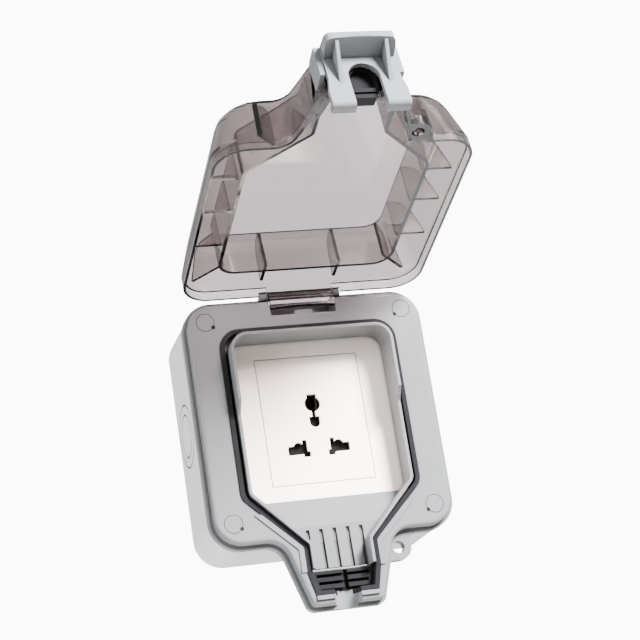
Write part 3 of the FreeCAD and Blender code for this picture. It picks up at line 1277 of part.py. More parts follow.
def main():
    """Build every piece and write it to its own file."""
    os.makedirs("parts", exist_ok=True)
    pieces = {
        "back_box": back_box(),
        "front_frame": front_frame(),
        "box_seal": seal_ring(),
        "cover_gasket": cover_gasket(),
        "cable_comb": cable_comb(),
        "corner_screws": corner_screws(),
        "screw_caps": screw_caps(),
        "socket_plate": socket_plate(),
        "plate_screws": plate_screws(),
        "socket_module": socket_module(),
        "contact_carrier": contact_carrier(),
        "rear_cover": rear_cover(),
        "rear_cover_screws": rear_cover_screws(),
        "live_contact": line_contact(1),
        "neutral_contact": line_contact(-1),
        "earth_contact": earth_contact(),
        "live_terminal_screw": terminal_screw(*TERMINALS[1]),
        "neutral_terminal_screw": terminal_screw(*TERMINALS[0]),
        "earth_terminal_screw": terminal_screw(*TERMINALS[2]),
        "shutter": shutter(),
        "shutter_spring": shutter_spring(),
        "hinge_pin": cross_rod(PIN_R, HINGE.y, HINGE.z, SLOT_HALF_W + LUG_GAP + LUG_W),
        "cover": opened(cover()),
        "cover_cable_seal": opened(cover_cable_seal()),
        "latch_pin": opened(cross_rod(LATCH_PIN_R, LATCH_PIVOT.y, LATCH_PIVOT.z, CHEEK_X + CHEEK_T)),
        "latch": opened(latch().rotated(LATCH_PIVOT, X_AXIS, -LATCH_REST_ANGLE)),
    }
    for name, shape in pieces.items():
        shape.exportStep("parts/" + name + ".step")


main()
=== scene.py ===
import math

import bmesh
import bpy
from mathutils import Matrix, Vector


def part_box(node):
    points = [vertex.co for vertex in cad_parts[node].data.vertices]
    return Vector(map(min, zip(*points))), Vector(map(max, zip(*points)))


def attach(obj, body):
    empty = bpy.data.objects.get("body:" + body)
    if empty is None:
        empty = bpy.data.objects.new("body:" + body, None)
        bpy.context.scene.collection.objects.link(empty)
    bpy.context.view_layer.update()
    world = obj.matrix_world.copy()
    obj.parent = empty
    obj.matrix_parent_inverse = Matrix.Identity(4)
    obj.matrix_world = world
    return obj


bl_info = {
    "name": "Waterproof Outlet Box",
    "version": (1, 0, 0),
    "blender": (4, 5, 0),
    "location": "3D View > Sidebar > Outlet Box",
    "description": "Moulded finishes, small fittings and studio for a weatherproof socket box",
    "category": "Object",
}

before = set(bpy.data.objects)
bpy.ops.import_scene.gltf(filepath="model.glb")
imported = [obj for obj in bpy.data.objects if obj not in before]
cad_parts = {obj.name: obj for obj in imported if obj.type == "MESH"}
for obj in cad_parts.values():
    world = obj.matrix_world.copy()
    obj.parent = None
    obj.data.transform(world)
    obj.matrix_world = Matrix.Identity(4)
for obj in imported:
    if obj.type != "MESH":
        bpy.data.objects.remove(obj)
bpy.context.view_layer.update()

MM = 0.001

# Camera, as solved from the photograph
LEFT_VIEW = math.radians(-16.47)
RISE_VIEW = math.radians(-16.84)
ROLL_VIEW = math.radians(-9.17)
VIEW_DISTANCE = 0.8663
VIEW_TARGET = Vector((0.00721, -0.050, 0.04461))
SENSOR_WIDTH = 36.0
CLIP_START = 0.01

# Studio
LIGHT_CENTRE = (0.0, -0.06, 0.02)
KEY_PLACE = (0.70, -1.05, 0.88)
KEY_SIZE = (0.5, 0.5)
FILL_PLACE = (-1.35, -0.6, 0.35)
FILL_SIZE = (1.0, 1.0)
LIGHT_SPREAD = 55.0
SKY_BELOW = 0.25
SKY_LOW = -0.6
SKY_HIGH = 0.5
FLOOR_HALF = 4.0
FLOOR_CELLS = 8
FLOOR_COLOUR = (0.88, 0.88, 0.88)

# Cover: the way that its mouth faces, and how far along it the panel ends
MOUTH_WAY = Vector((0.0, -0.2334, -0.9724))
PANEL_LEVEL = -0.069
# Range of facing along the mouth's way over which the rims and rib ends take the painted edge shade
EDGE_FACING = (0.80, 0.95)
GLASS_IOR = 1.5

# Painted shade rings in the seams round the screw caps, and painted shade discs in their pry notches
RING_IN = 0.00405
RING_OUT = 0.00435
NOTCH_R = 0.00095
NOTCH_IN = 0.00352
NOTCH_LOWER = 0.00251
LINE_LIFT = 0.00002
RING_STEPS = 48
NOTCH_STEPS = 24

# Webs in the drain grooves
WEB_COUNT = 5
WEB_PITCH = 0.0063
WEB_HALF_W = 0.00089
WEB_FRONT = -0.04266
WEB_T = 0.0001
WEB_LOW = -0.0585
WEB_HIGH = -0.0545

# Painted shade in nooks and pin holes
NOOK_REACH = 0.0022
NOOK_SHADE = 0.30
NOOK_SHUT = 0.3
NOOK_OPEN = 0.85
HOLE_SHADE_FROM = 0.0008
HOLE_SHADE_TO = 0.0018

# Finishes that a user wouldn't change
NEAR_BLACK = (0.008, 0.008, 0.008)
# Near-black of the painted seam shade
SEAM_SHADE_BLACK = (0.018, 0.018, 0.018)
BRASS_BRIGHT = (0.16, 0.12, 0.06)
BRASS_DULL = (0.08, 0.055, 0.025)
ZINC_BRIGHT = (0.66, 0.66, 0.64)
ZINC_DULL = (0.45, 0.45, 0.44)
METAL_GRAIN_DEPTH = 0.000004
METAL_EDGE_RADIUS = 0.00015
CLEAR_GRAIN = 0.004
CLEAR_GRAIN_DEPTH = 0.00001
CLEAR_EDGE_RADIUS = 0.0003
FRAME_EDGE_SHARE = 0.4

# Texture patterns, as sizes of noise in turns per metre
CLOUD_SCALE = 38.0
CLOUD_RANGE = (0.3, 0.7)
RUB_SCALE = 160.0
RUB_STRETCH = (0.15, 1.0, 1.0)
RUB_TURN = (0.3, 0.5, 0.6)
DRAWN_SCALE = 2400.0
DRAWN_STRETCH = (1.0, 1.0, 0.06)
BLOTCH_SCALE = 300.0
DRAWN_ROUGHNESS = 0.25


# Settings a user would change

class FinishSettings(bpy.types.PropertyGroup):
    """Colours and texture of the opaque pieces"""
    frame_colour: bpy.props.FloatVectorProperty(
        name="Front frame", description="Grey of the moulded front frame and its caps",
        subtype="COLOR", size=3, min=0.0, max=1.0, default=(0.112, 0.115, 0.119))
    box_colour: bpy.props.FloatVectorProperty(
        name="Back box", description="Lighter grey of the box on the wall",
        subtype="COLOR", size=3, min=0.0, max=1.0, default=(0.50, 0.49, 0.505))
    latch_colour: bpy.props.FloatVectorProperty(
        name="Latch", description="Pale grey of the snap latch",
        subtype="COLOR", size=3, min=0.0, max=1.0, default=(0.120, 0.124, 0.130))
    insert_colour: bpy.props.FloatVectorProperty(
        name="Socket insert", description="Warm white of the socket plate and module",
        subtype="COLOR", size=3, min=0.0, max=1.0, default=(0.93, 0.82, 0.75))
    rubber_colour: bpy.props.FloatVectorProperty(
        name="Seals", description="Black of the moulded seals",
        subtype="COLOR", size=3, min=0.0, max=1.0, default=(0.012, 0.012, 0.013))
    grain_size: bpy.props.FloatProperty(
        name="Grain size", description="Size of the fine spark texture on the grey mouldings",
        subtype="DISTANCE", unit="LENGTH", min=0.0001, max=0.005, default=0.0005)
    edge_radius: bpy.props.FloatProperty(
        name="Edge radius", description="Softening of the sharp edges of the mouldings",
        subtype="DISTANCE", unit="LENGTH", min=0.0, max=0.002, default=0.0005)


class CoverSettings(bpy.types.PropertyGroup):
    """Tint and density of the smoked cover"""
    tint: bpy.props.FloatVectorProperty(
        name="Smoke tint", description="Share of each colour that the smoked plastic doesn't take up",
        subtype="COLOR", size=3, min=0.0, max=1.0, default=(0.15, 0.07, 0.075))
    density: bpy.props.FloatProperty(
        name="Smoke density", description="How much light a metre of the smoked plastic takes up",
        min=0.0, max=2000.0, default=380.0)
    surface_tint: bpy.props.FloatVectorProperty(
        name="Surface tint", description="Tint that each wall of the cover gives whatever its thickness",
        subtype="COLOR", size=3, min=0.0, max=1.0, default=(0.83, 0.805, 0.81))
    wall_tint: bpy.props.FloatVectorProperty(
        name="Wall tint", description="Tint of the cover's side walls and ribs",
        subtype="COLOR", size=3, min=0.0, max=1.0, default=(0.74, 0.71, 0.715))
    # Painted shade: a near-black tint laid on the rims and rib ends, standing in for the dark lines the
    # clear plastic's edges show
    edge_shade: bpy.props.FloatVectorProperty(
        name="Edge shade", description="Tint of the open rims and the ends of the ribs",
        subtype="COLOR", size=3, min=0.0, max=1.0, default=(0.006, 0.005, 0.005))
    shade: bpy.props.FloatVectorProperty(
        name="Shadow tint", description="Light that reaches a surface through the cover",
        subtype="COLOR", size=3, min=0.0, max=1.0, default=(0.80, 0.78, 0.78))


class StudioSettings(bpy.types.PropertyGroup):
    """Floor, lights, surround and lens"""
    floor_level: bpy.props.FloatProperty(
        name="Floor level", description="Height of the floor under the box",
        subtype="DISTANCE", unit="LENGTH", default=-0.55)
    key_power: bpy.props.FloatProperty(
        name="Key light", description="Power of the large soft light from the upper right",
        subtype="POWER", unit="POWER", min=0.0, default=38.0)
    fill_power: bpy.props.FloatProperty(
        name="Fill light", description="Power of the broad light from the left",
        subtype="POWER", unit="POWER", min=0.0, default=8.0)
    sky_strength: bpy.props.FloatProperty(
        name="Surround light", description="Brightness of the white surround as it lights the box",
        min=0.0, max=20.0, default=0.75)
    sky_through: bpy.props.FloatProperty(
        name="Surround through the cover", description="Brightness of the surround behind smoked plastic",
        min=0.0, max=20.0, default=3.7)
    sky_seen: bpy.props.FloatProperty(
        name="Surround seen", description="Brightness of the surround where it is seen directly",
        min=0.0, max=40.0, default=14.0)
    lens: bpy.props.FloatProperty(
        name="Lens", description="Focal length of the camera",
        subtype="DISTANCE_CAMERA", min=20.0, max=300.0, default=104.3)


# Shader effects that several finishes share

def group_sockets(group, inputs, outputs):
    for name, kind, value in inputs:
        socket = group.interface.new_socket(name=name, in_out="INPUT", socket_type=kind)
        if value is not None:
            socket.default_value = value
    for name, kind in outputs:
        group.interface.new_socket(name=name, in_out="OUTPUT", socket_type=kind)


def add(tree, kind, **values):
    node = tree.nodes.new(kind)
    for name, value in values.items():
        if hasattr(node, name):
            setattr(node, name, value)
        else:
            node.inputs[name.replace("_", " ")].default_value = value
    return node


def moulded_skin():
    """Fine spark texture, faint mottling and rub marks of a moulded plastic surface."""
    name = "Moulded skin"
    if name in bpy.data.node_groups:
        return bpy.data.node_groups[name]
    group = bpy.data.node_groups.new(name, "ShaderNodeTree")
    group_sockets(group, [
        ("Colour", "NodeSocketColor", (0.5, 0.5, 0.5, 1.0)),
        ("Mottle", "NodeSocketFloat", 0.05),
        ("Grain size", "NodeSocketFloat", 0.0005),
        ("Roughness", "NodeSocketFloat", 0.4),
        ("Rub", "NodeSocketFloat", 0.08),
    ], [("Colour", "NodeSocketColor"), ("Roughness", "NodeSocketFloat"), ("Height", "NodeSocketFloat")])
    start = add(group, "NodeGroupInput")
    end = add(group, "NodeGroupOutput")
    place = add(group, "ShaderNodeTexCoord")
    pitch = add(group, "ShaderNodeMath", operation="DIVIDE")
    pitch.inputs[0].default_value = 1.0
    group.links.new(start.outputs["Grain size"], pitch.inputs[1])
    grain = add(group, "ShaderNodeTexNoise", Detail=3.0, Roughness=0.6)
    group.links.new(place.outputs["Object"], grain.inputs["Vector"])
    group.links.new(pitch.outputs[0], grain.inputs["Scale"])
    cloud = add(group, "ShaderNodeTexNoise", Scale=CLOUD_SCALE, Detail=4.0, Roughness=0.55)
    group.links.new(place.outputs["Object"], cloud.inputs["Vector"])
    rubs = add(group, "ShaderNodeTexNoise", Scale=RUB_SCALE, Detail=5.0, Roughness=0.7)
    stretch = add(group, "ShaderNodeMapping")
    stretch.inputs["Scale"].default_value = RUB_STRETCH
    stretch.inputs["Rotation"].default_value = RUB_TURN
    group.links.new(place.outputs["Object"], stretch.inputs["Vector"])
    group.links.new(stretch.outputs["Vector"], rubs.inputs["Vector"])
    darker = add(group, "ShaderNodeMapRange")
    darker.inputs["From Min"].default_value, darker.inputs["From Max"].default_value = CLOUD_RANGE
    group.links.new(cloud.outputs["Fac"], darker.inputs["Value"])
    low = add(group, "ShaderNodeMath", operation="SUBTRACT")
    low.inputs[0].default_value = 1.0
    group.links.new(start.outputs["Mottle"], low.inputs[1])
    group.links.new(low.outputs[0], darker.inputs["To Min"])
    darker.inputs["To Max"].default_value = 1.0
    shade = add(group, "ShaderNodeVectorMath", operation="SCALE")
    group.links.new(start.outputs["Colour"], shade.inputs[0])
    group.links.new(darker.outputs[0], shade.inputs["Scale"])
    group.links.new(shade.outputs[0], end.inputs["Colour"])
    spread = add(group, "ShaderNodeMath", operation="SUBTRACT")
    spread.inputs[1].default_value = 0.5
    group.links.new(rubs.outputs["Fac"], spread.inputs[0])
    rub = add(group, "ShaderNodeMath", operation="MULTIPLY")
    group.links.new(spread.outputs[0], rub.inputs[0])
    group.links.new(start.outputs["Rub"], rub.inputs[1])
    rough = add(group, "ShaderNodeMath", operation="ADD", use_clamp=True)
    group.links.new(start.outputs["Roughness"], rough.inputs[0])
    group.links.new(rub.outputs[0], rough.inputs[1])
    group.links.new(rough.outputs[0], end.inputs["Roughness"])
    group.links.new(grain.outputs["Fac"], end.inputs["Height"])
    return group


def rolled_metal():
    """Drawn lines and small blotches of rolled strip and turned screws."""
    name = "Rolled metal"
    if name in bpy.data.node_groups:
        return bpy.data.node_groups[name]
    group = bpy.data.node_groups.new(name, "ShaderNodeTree")
    group_sockets(group, [
        ("Bright", "NodeSocketColor", (0.8, 0.8, 0.8, 1.0)),
        ("Dull", "NodeSocketColor", (0.5, 0.5, 0.5, 1.0)),
        ("Roughness", "NodeSocketFloat", 0.3),
    ], [("Colour", "NodeSocketColor"), ("Roughness", "NodeSocketFloat"), ("Height", "NodeSocketFloat")])
    start = add(group, "NodeGroupInput")
    end = add(group, "NodeGroupOutput")
    place = add(group, "ShaderNodeTexCoord")
    drawn = add(group, "ShaderNodeMapping")
    drawn.inputs["Scale"].default_value = DRAWN_STRETCH
    lines = add(group, "ShaderNodeTexNoise", Scale=DRAWN_SCALE, Detail=3.0)
    blotch = add(group, "ShaderNodeTexNoise", Scale=BLOTCH_SCALE, Detail=4.0)
    group.links.new(place.outputs["Object"], drawn.inputs["Vector"])
    group.links.new(drawn.outputs["Vector"], lines.inputs["Vector"])
    group.links.new(place.outputs["Object"], blotch.inputs["Vector"])
    mix = add(group, "ShaderNodeMix", data_type="RGBA")
    group.links.new(blotch.outputs["Fac"], mix.inputs[0])
    group.links.new(start.outputs["Bright"], mix.inputs[6])
    group.links.new(start.outputs["Dull"], mix.inputs[7])
    group.links.new(mix.outputs[2], end.inputs["Colour"])
    vary = add(group, "ShaderNodeMath", operation="MULTIPLY_ADD")
    vary.inputs[1].default_value = DRAWN_ROUGHNESS
    group.links.new(lines.outputs["Fac"], vary.inputs[0])
    group.links.new(start.outputs["Roughness"], vary.inputs[2])
    group.links.new(vary.outputs[0], end.inputs["Roughness"])
    group.links.new(lines.outputs["Fac"], end.inputs["Height"])
    return group


def cover_tints_and_edge_shade():
    """Tints of the cover's panel and of its walls, and painted shade on the rims and rib ends that face its
    mouth's way.
    """
    name = "Cut edges"
    if name in bpy.data.node_groups:
        return bpy.data.node_groups[name]
    group = bpy.data.node_groups.new(name, "ShaderNodeTree")
    group_sockets(group, [
        ("Panel", "NodeSocketColor", (0.9, 0.9, 0.9, 1.0)),
        ("Wall", "NodeSocketColor", (0.8, 0.8, 0.8, 1.0)),
        ("Edge", "NodeSocketColor", (0.2, 0.2, 0.2, 1.0)),
    ], [("Colour", "NodeSocketColor")])
    start = add(group, "NodeGroupInput")
    end = add(group, "NodeGroupOutput")
    place = add(group, "ShaderNodeTexCoord")
    masks = []
    for source, low, high in (("Normal", *EDGE_FACING), ("Object", PANEL_LEVEL, PANEL_LEVEL + MM)):
        along = add(group, "ShaderNodeVectorMath", operation="DOT_PRODUCT")
        along.inputs[1].default_value = MOUTH_WAY
        group.links.new(place.outputs[source], along.inputs[0])
        mask = add(group, "ShaderNodeMapRange")
        mask.inputs["From Min"].default_value = low
        mask.inputs["From Max"].default_value = high
        group.links.new(along.outputs["Value"], mask.inputs["Value"])
        masks.append(mask)
    # Mask of the painted edge shade: faces that look the mouth's way beyond the panel
    both = add(group, "ShaderNodeMath", operation="MULTIPLY")
    group.links.new(masks[0].outputs[0], both.inputs[0])
    group.links.new(masks[1].outputs[0], both.inputs[1])
    colour = start.outputs["Panel"]
    for mask, name in ((masks[1], "Wall"), (both, "Edge")):
        mix = add(group, "ShaderNodeMix", data_type="RGBA")
        group.links.new(mask.outputs[0], mix.inputs[0])
        group.links.new(colour, mix.inputs[6])
        group.links.new(start.outputs[name], mix.inputs[7])
        colour = mix.outputs[2]
    group.links.new(colour, end.inputs["Colour"])
    return group


def new_material(name):
    material = bpy.data.materials.new(name)
    material.use_nodes = True
    tree = material.node_tree
    surface = tree.nodes["Principled BSDF"]
    return material, tree, surface


def soft_normal(tree, surface, height, depth, radius):
    bump = add(tree, "ShaderNodeBump", Strength=1.0, Distance=depth)
    bevel = add(tree, "ShaderNodeBevel", samples=4, Radius=radius)
    tree.links.new(height, bump.inputs["Height"])
    tree.links.new(bevel.outputs["Normal"], bump.inputs["Normal"])
    tree.links.new(bump.outputs["Normal"], surface.inputs["Normal"])


def plastic(name, colour, roughness, mottle=0.05, grain=None, depth=0.00002, rub=0.08, gloss=0.5,
            radius=None):
    """A moulded plastic with its own colour, sheen and grain, and painted shade in its nooks."""
    if name in bpy.data.materials:
        return bpy.data.materials[name]
    finish = bpy.context.scene.outlet_finish
    material, tree, surface = new_material(name)
    skin = add(tree, "ShaderNodeGroup", node_tree=moulded_skin())
    skin.inputs["Colour"].default_value = (*colour, 1.0)
    skin.inputs["Mottle"].default_value = mottle
    skin.inputs["Grain size"].default_value = finish.grain_size if grain is None else grain
    skin.inputs["Roughness"].default_value = roughness
    skin.inputs["Rub"].default_value = rub
    # Painted shade: the colour is darkened where the occlusion finds nooks, corners and recesses
    nook = add(tree, "ShaderNodeAmbientOcclusion", samples=6, Distance=NOOK_REACH)
    shut = add(tree, "ShaderNodeMapRange")
    shut.inputs["From Min"].default_value = NOOK_SHUT
    shut.inputs["From Max"].default_value = NOOK_OPEN
    shut.inputs["To Min"].default_value = NOOK_SHADE
    tree.links.new(nook.outputs["AO"], shut.inputs["Value"])
    shaded = add(tree, "ShaderNodeVectorMath", operation="SCALE")
    tree.links.new(skin.outputs["Colour"], shaded.inputs[0])
    tree.links.new(shut.outputs[0], shaded.inputs["Scale"])
    tree.links.new(shaded.outputs[0], surface.inputs["Base Color"])
    tree.links.new(skin.outputs["Roughness"], surface.inputs["Roughness"])
    surface.inputs["Specular IOR Level"].default_value = gloss
    soft_normal(tree, surface, skin.outputs["Height"], depth,
                finish.edge_radius if radius is None else radius)
    return material


def metal(name, bright, dull, roughness):
    """Rolled or plated metal of the contacts and screws."""
    if name in bpy.data.materials:
        return bpy.data.materials[name]
    material, tree, surface = new_material(name)
    sheet = add(tree, "ShaderNodeGroup", node_tree=rolled_metal())
    sheet.inputs["Bright"].default_value = (*bright, 1.0)
    sheet.inputs["Dull"].default_value = (*dull, 1.0)
    sheet.inputs["Roughness"].default_value = roughness
    tree.links.new(sheet.outputs["Colour"], surface.inputs["Base Color"])
    tree.links.new(sheet.outputs["Roughness"], surface.inputs["Roughness"])
    surface.inputs["Metallic"].default_value = 1.0
    soft_normal(tree, surface, sheet.outputs["Height"], METAL_GRAIN_DEPTH, METAL_EDGE_RADIUS)
    return material


def smoked_plastic():
    """Clear smoke-tinted plastic that is darker where light crosses more of it, with painted shade on its
    rims and rib ends.
    """
    name = "Smoked clear plastic"
    if name in bpy.data.materials:
        return bpy.data.materials[name]
    cover = bpy.context.scene.outlet_cover
    material, tree, surface = new_material(name)
    edges = add(tree, "ShaderNodeGroup", node_tree=cover_tints_and_edge_shade())
    edges.inputs["Panel"].default_value = (*cover.surface_tint, 1.0)
    edges.inputs["Wall"].default_value = (*cover.wall_tint, 1.0)
    # Painted shade on the rims and rib ends
    edges.inputs["Edge"].default_value = (*cover.edge_shade, 1.0)
    tree.links.new(edges.outputs["Colour"], surface.inputs["Base Color"])
    surface.inputs["Transmission Weight"].default_value = 1.0
    surface.inputs["IOR"].default_value = GLASS_IOR
    skin = add(tree, "ShaderNodeGroup", node_tree=moulded_skin())
    skin.inputs["Grain size"].default_value = CLEAR_GRAIN
    skin.inputs["Roughness"].default_value = 0.05
    skin.inputs["Rub"].default_value = 0.10
    tree.links.new(skin.outputs["Roughness"], surface.inputs["Roughness"])
    soft_normal(tree, surface, skin.outputs["Height"], CLEAR_GRAIN_DEPTH, CLEAR_EDGE_RADIUS)
    through = add(tree, "ShaderNodeBsdfTransparent")
    through.inputs["Color"].default_value = (*cover.shade, 1.0)
    ray = add(tree, "ShaderNodeLightPath")
    either = add(tree, "ShaderNodeMixShader")
    out = tree.nodes["Material Output"]
    tree.links.new(ray.outputs["Is Shadow Ray"], either.inputs[0])
    tree.links.new(surface.outputs[0], either.inputs[1])
    tree.links.new(through.outputs[0], either.inputs[2])
    tree.links.new(either.outputs[0], out.inputs["Surface"])
    smoke = add(tree, "ShaderNodeVolumeAbsorption")
    smoke.inputs["Color"].default_value = (*cover.tint, 1.0)
    smoke.inputs["Density"].default_value = cover.density
    tree.links.new(smoke.outputs[0], out.inputs["Volume"])
    return material


def dress(material, *nodes):
    """Gives CAD nodes a finish in every one of their material slots."""
    for node in nodes:
        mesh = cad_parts[node]
        if not mesh.material_slots:
            mesh.data.materials.append(material)
        for slot in mesh.material_slots:
            slot.material = material


# Operators, one for each group of like pieces

class OUTLET_OT_back_box(bpy.types.Operator):
    """Finishes the back box that stands on the wall"""
    bl_idname = "outlet.back_box"
    bl_label = "Back box"

    def execute(self, context):
        grey = plastic("Back box grey", context.scene.outlet_finish.box_colour, 0.42, mottle=0.04)
        dress(grey, "back_box")
        return {"FINISHED"}


class OUTLET_OT_front_frame(bpy.types.Operator):
    """Finishes the front frame and the four screw caps"""
    bl_idname = "outlet.front_frame"
    bl_label = "Front frame"

    def execute(self, context):
        finish = context.scene.outlet_finish
        grey = plastic("Front frame grey", finish.frame_colour, 0.38, mottle=0.04,
                       radius=FRAME_EDGE_SHARE * finish.edge_radius)
        dress(grey, "front_frame", "screw_caps")
        return {"FINISHED"}


def flat_ring(build, centre, inner, outer, steps=RING_STEPS):
    """A flat ring, or a disc where inner is 0, in the plane of the deck."""
    loops = []
    for radius in (inner, outer):
        if radius == 0.0:
            loops.append([build.verts.new(centre)] * steps)
            continue
        loops.append([build.verts.new((centre[0] + radius * math.cos(2 * math.pi * k / steps), centre[1],
                                       centre[2] + radius * math.sin(2 * math.pi * k / steps)))
                      for k in range(steps)])
    for k in range(steps):
        j = (k + 1) % steps
        corners = [loops[0][k], loops[0][j], loops[1][j], loops[1][k]]
        if inner == 0.0:
            corners = corners[1:]
        build.faces.new(corners)


class OUTLET_OT_cap_shade_rings(bpy.types.Operator):
    """Draws painted shade: a dark ring in the seam round each screw cap and a dark disc at the bottom of
    its pry notch
    """
    bl_idname = "outlet.cap_seams"
    bl_label = "Screw cap seam shade"

    def execute(self, context):
        low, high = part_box("screw_caps")
        build = bmesh.new()
        for x in (low.x + RING_IN, high.x - RING_IN):
            for z in (low.z + RING_IN, high.z - RING_IN):
                flat_ring(build, (x, low.y - LINE_LIFT, z), RING_IN, RING_OUT)
                notch = (x - math.copysign(NOTCH_IN, x), low.y - LINE_LIFT, z - NOTCH_LOWER)
                flat_ring(build, notch, 0.0, NOTCH_R, steps=NOTCH_STEPS)
        mesh = bpy.data.meshes.new("cap_seams")
        build.to_mesh(mesh)
        build.free()
        lines = bpy.data.objects.new("cap_seams", mesh)
        context.scene.collection.objects.link(lines)
        # Painted shade: a near-black sheet over the deck where the seams and notches fall in shadow
        mesh.materials.append(plastic("Dark seam", SEAM_SHADE_BLACK, 0.9, mottle=0.1, gloss=0.05, radius=0.0))
        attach(lines, "housing")
        return {"FINISHED"}


class OUTLET_OT_groove_webs(bpy.types.Operator):
    """Closes the five drain grooves of the trough with thin webs over the box seal"""
    bl_idname = "outlet.groove_webs"
    bl_label = "Drain groove webs"

    def execute(self, context):
        build = bmesh.new()
        for k in range(WEB_COUNT):
            x = (k - (WEB_COUNT - 1) / 2) * WEB_PITCH
            corners = [build.verts.new((x + side * WEB_HALF_W, y, z))
                       for y in (WEB_FRONT, WEB_FRONT + WEB_T)
                       for side, z in ((-1, WEB_LOW), (1, WEB_LOW), (1, WEB_HIGH), (-1, WEB_HIGH))]
            build.faces.new(corners[:4])
            build.faces.new(corners[7:3:-1])
            for j in range(4):
                m = (j + 1) % 4
                build.faces.new((corners[m], corners[j], corners[j + 4], corners[m + 4]))
        mesh = bpy.data.meshes.new("groove_webs")
        build.to_mesh(mesh)
        build.free()
        webs = bpy.data.objects.new("groove_webs", mesh)
        context.scene.collection.objects.link(webs)
        mesh.materials.append(bpy.data.materials["Front frame grey"])
        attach(webs, "housing")
        return {"FINISHED"}


class OUTLET_OT_seals(bpy.types.Operator):
    """Finishes the seals, the gasket and the cable comb"""
    bl_idname = "outlet.seals"
    bl_label = "Seals"

    def execute(self, context):
        rubber = plastic("Black rubber", context.scene.outlet_finish.rubber_colour, 0.72,
                         mottle=0.3, grain=0.0008, depth=0.00003, rub=0.2, gloss=0.15)
        dress(rubber, "box_seal", "cover_gasket", "cable_comb", "cover_cable_seal")
        return {"FINISHED"}


def shade_holes(material, front):
    """Paints shade on the plastic inside the pin holes, where hardly any light reaches."""
    tree = material.node_tree
    surface = tree.nodes["Principled BSDF"]
    bright = surface.inputs["Base Color"].links[0].from_socket
    place = add(tree, "ShaderNodeTexCoord")
    axes = add(tree, "ShaderNodeSeparateXYZ")
    tree.links.new(place.outputs["Object"], axes.inputs[0])
    depth = add(tree, "ShaderNodeMapRange")
    depth.inputs["From Min"].default_value = front + HOLE_SHADE_FROM
    depth.inputs["From Max"].default_value = front + HOLE_SHADE_TO
    tree.links.new(axes.outputs["Y"], depth.inputs["Value"])
    mix = add(tree, "ShaderNodeMix", data_type="RGBA")
    tree.links.new(depth.outputs[0], mix.inputs[0])
    tree.links.new(bright, mix.inputs[6])
    mix.inputs[7].default_value = (*NEAR_BLACK, 1.0)
    tree.links.new(mix.outputs[2], surface.inputs["Base Color"])


class OUTLET_OT_socket(bpy.types.Operator):
    """Finishes the white socket plate, its module and the safety shutter"""
    bl_idname = "outlet.socket"
    bl_label = "Socket insert"

    def execute(self, context):
        finish = context.scene.outlet_finish
        white = plastic("Insert white", finish.insert_colour, 0.28, mottle=0.02, grain=0.002,
                        depth=0.000006, rub=0.06)
        dress(white, "socket_plate")
        # A copy of the insert white that takes painted shade inside the pin holes
        module = plastic("Module white", finish.insert_colour, 0.28, mottle=0.02, grain=0.002,
                         depth=0.000006, rub=0.06)
        shade_holes(module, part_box("socket_module")[0].y)
        dress(module, "socket_module")
        dark = plastic("Dark plastic", NEAR_BLACK, 0.8, mottle=0.2, grain=0.0006, gloss=0.1)
        dress(dark, "contact_carrier", "rear_cover", "shutter")
        return {"FINISHED"}


class OUTLET_OT_contacts(bpy.types.Operator):
    """Finishes the sprung contacts, terminals, screws and the shutter's spring"""
    bl_idname = "outlet.contacts"
    bl_label = "Contacts and screws"

    def execute(self, context):
        brass = metal("Brass strip", BRASS_BRIGHT, BRASS_DULL, 0.4)
        steel = metal("Zinc plate", ZINC_BRIGHT, ZINC_DULL, 0.28)
        dress(brass, "live_contact", "neutral_contact", "earth_contact", "live_terminal_screw",
              "neutral_terminal_screw", "earth_terminal_screw")
        dress(steel, "corner_screws", "plate_screws", "rear_cover_screws", "shutter_spring",
              "hinge_pin", "latch_pin")
        return {"FINISHED"}


class OUTLET_OT_cover(bpy.types.Operator):
    """Finishes the smoked cover that swings up"""
    bl_idname = "outlet.cover"
    bl_label = "Cover"

    def execute(self, context):
        dress(smoked_plastic(), "cover")
        return {"FINISHED"}


class OUTLET_OT_latch(bpy.types.Operator):
    """Finishes the snap latch on the cover's nose"""
    bl_idname = "outlet.latch"
    bl_label = "Latch"

    def execute(self, context):
        grey = plastic("Latch grey", context.scene.outlet_finish.latch_colour, 0.36, mottle=0.03)
        dress(grey, "latch")
        return {"FINISHED"}


def soft_light(name, place, size, power):
    """A rectangular lamp aimed at the box that glossy surfaces don't reflect."""
    data = bpy.data.lights.new(name, "AREA")
    data.shape = "RECTANGLE"
    data.size, data.size_y = size
    data.energy = power
    data.spread = math.radians(LIGHT_SPREAD)
    lamp = bpy.data.objects.new(name, data)
    lamp.visible_glossy = False
    lamp.location = place
    lamp.rotation_euler = (Vector(LIGHT_CENTRE) - Vector(place)).to_track_quat("-Z", "Y").to_euler()
    bpy.context.scene.collection.objects.link(lamp)


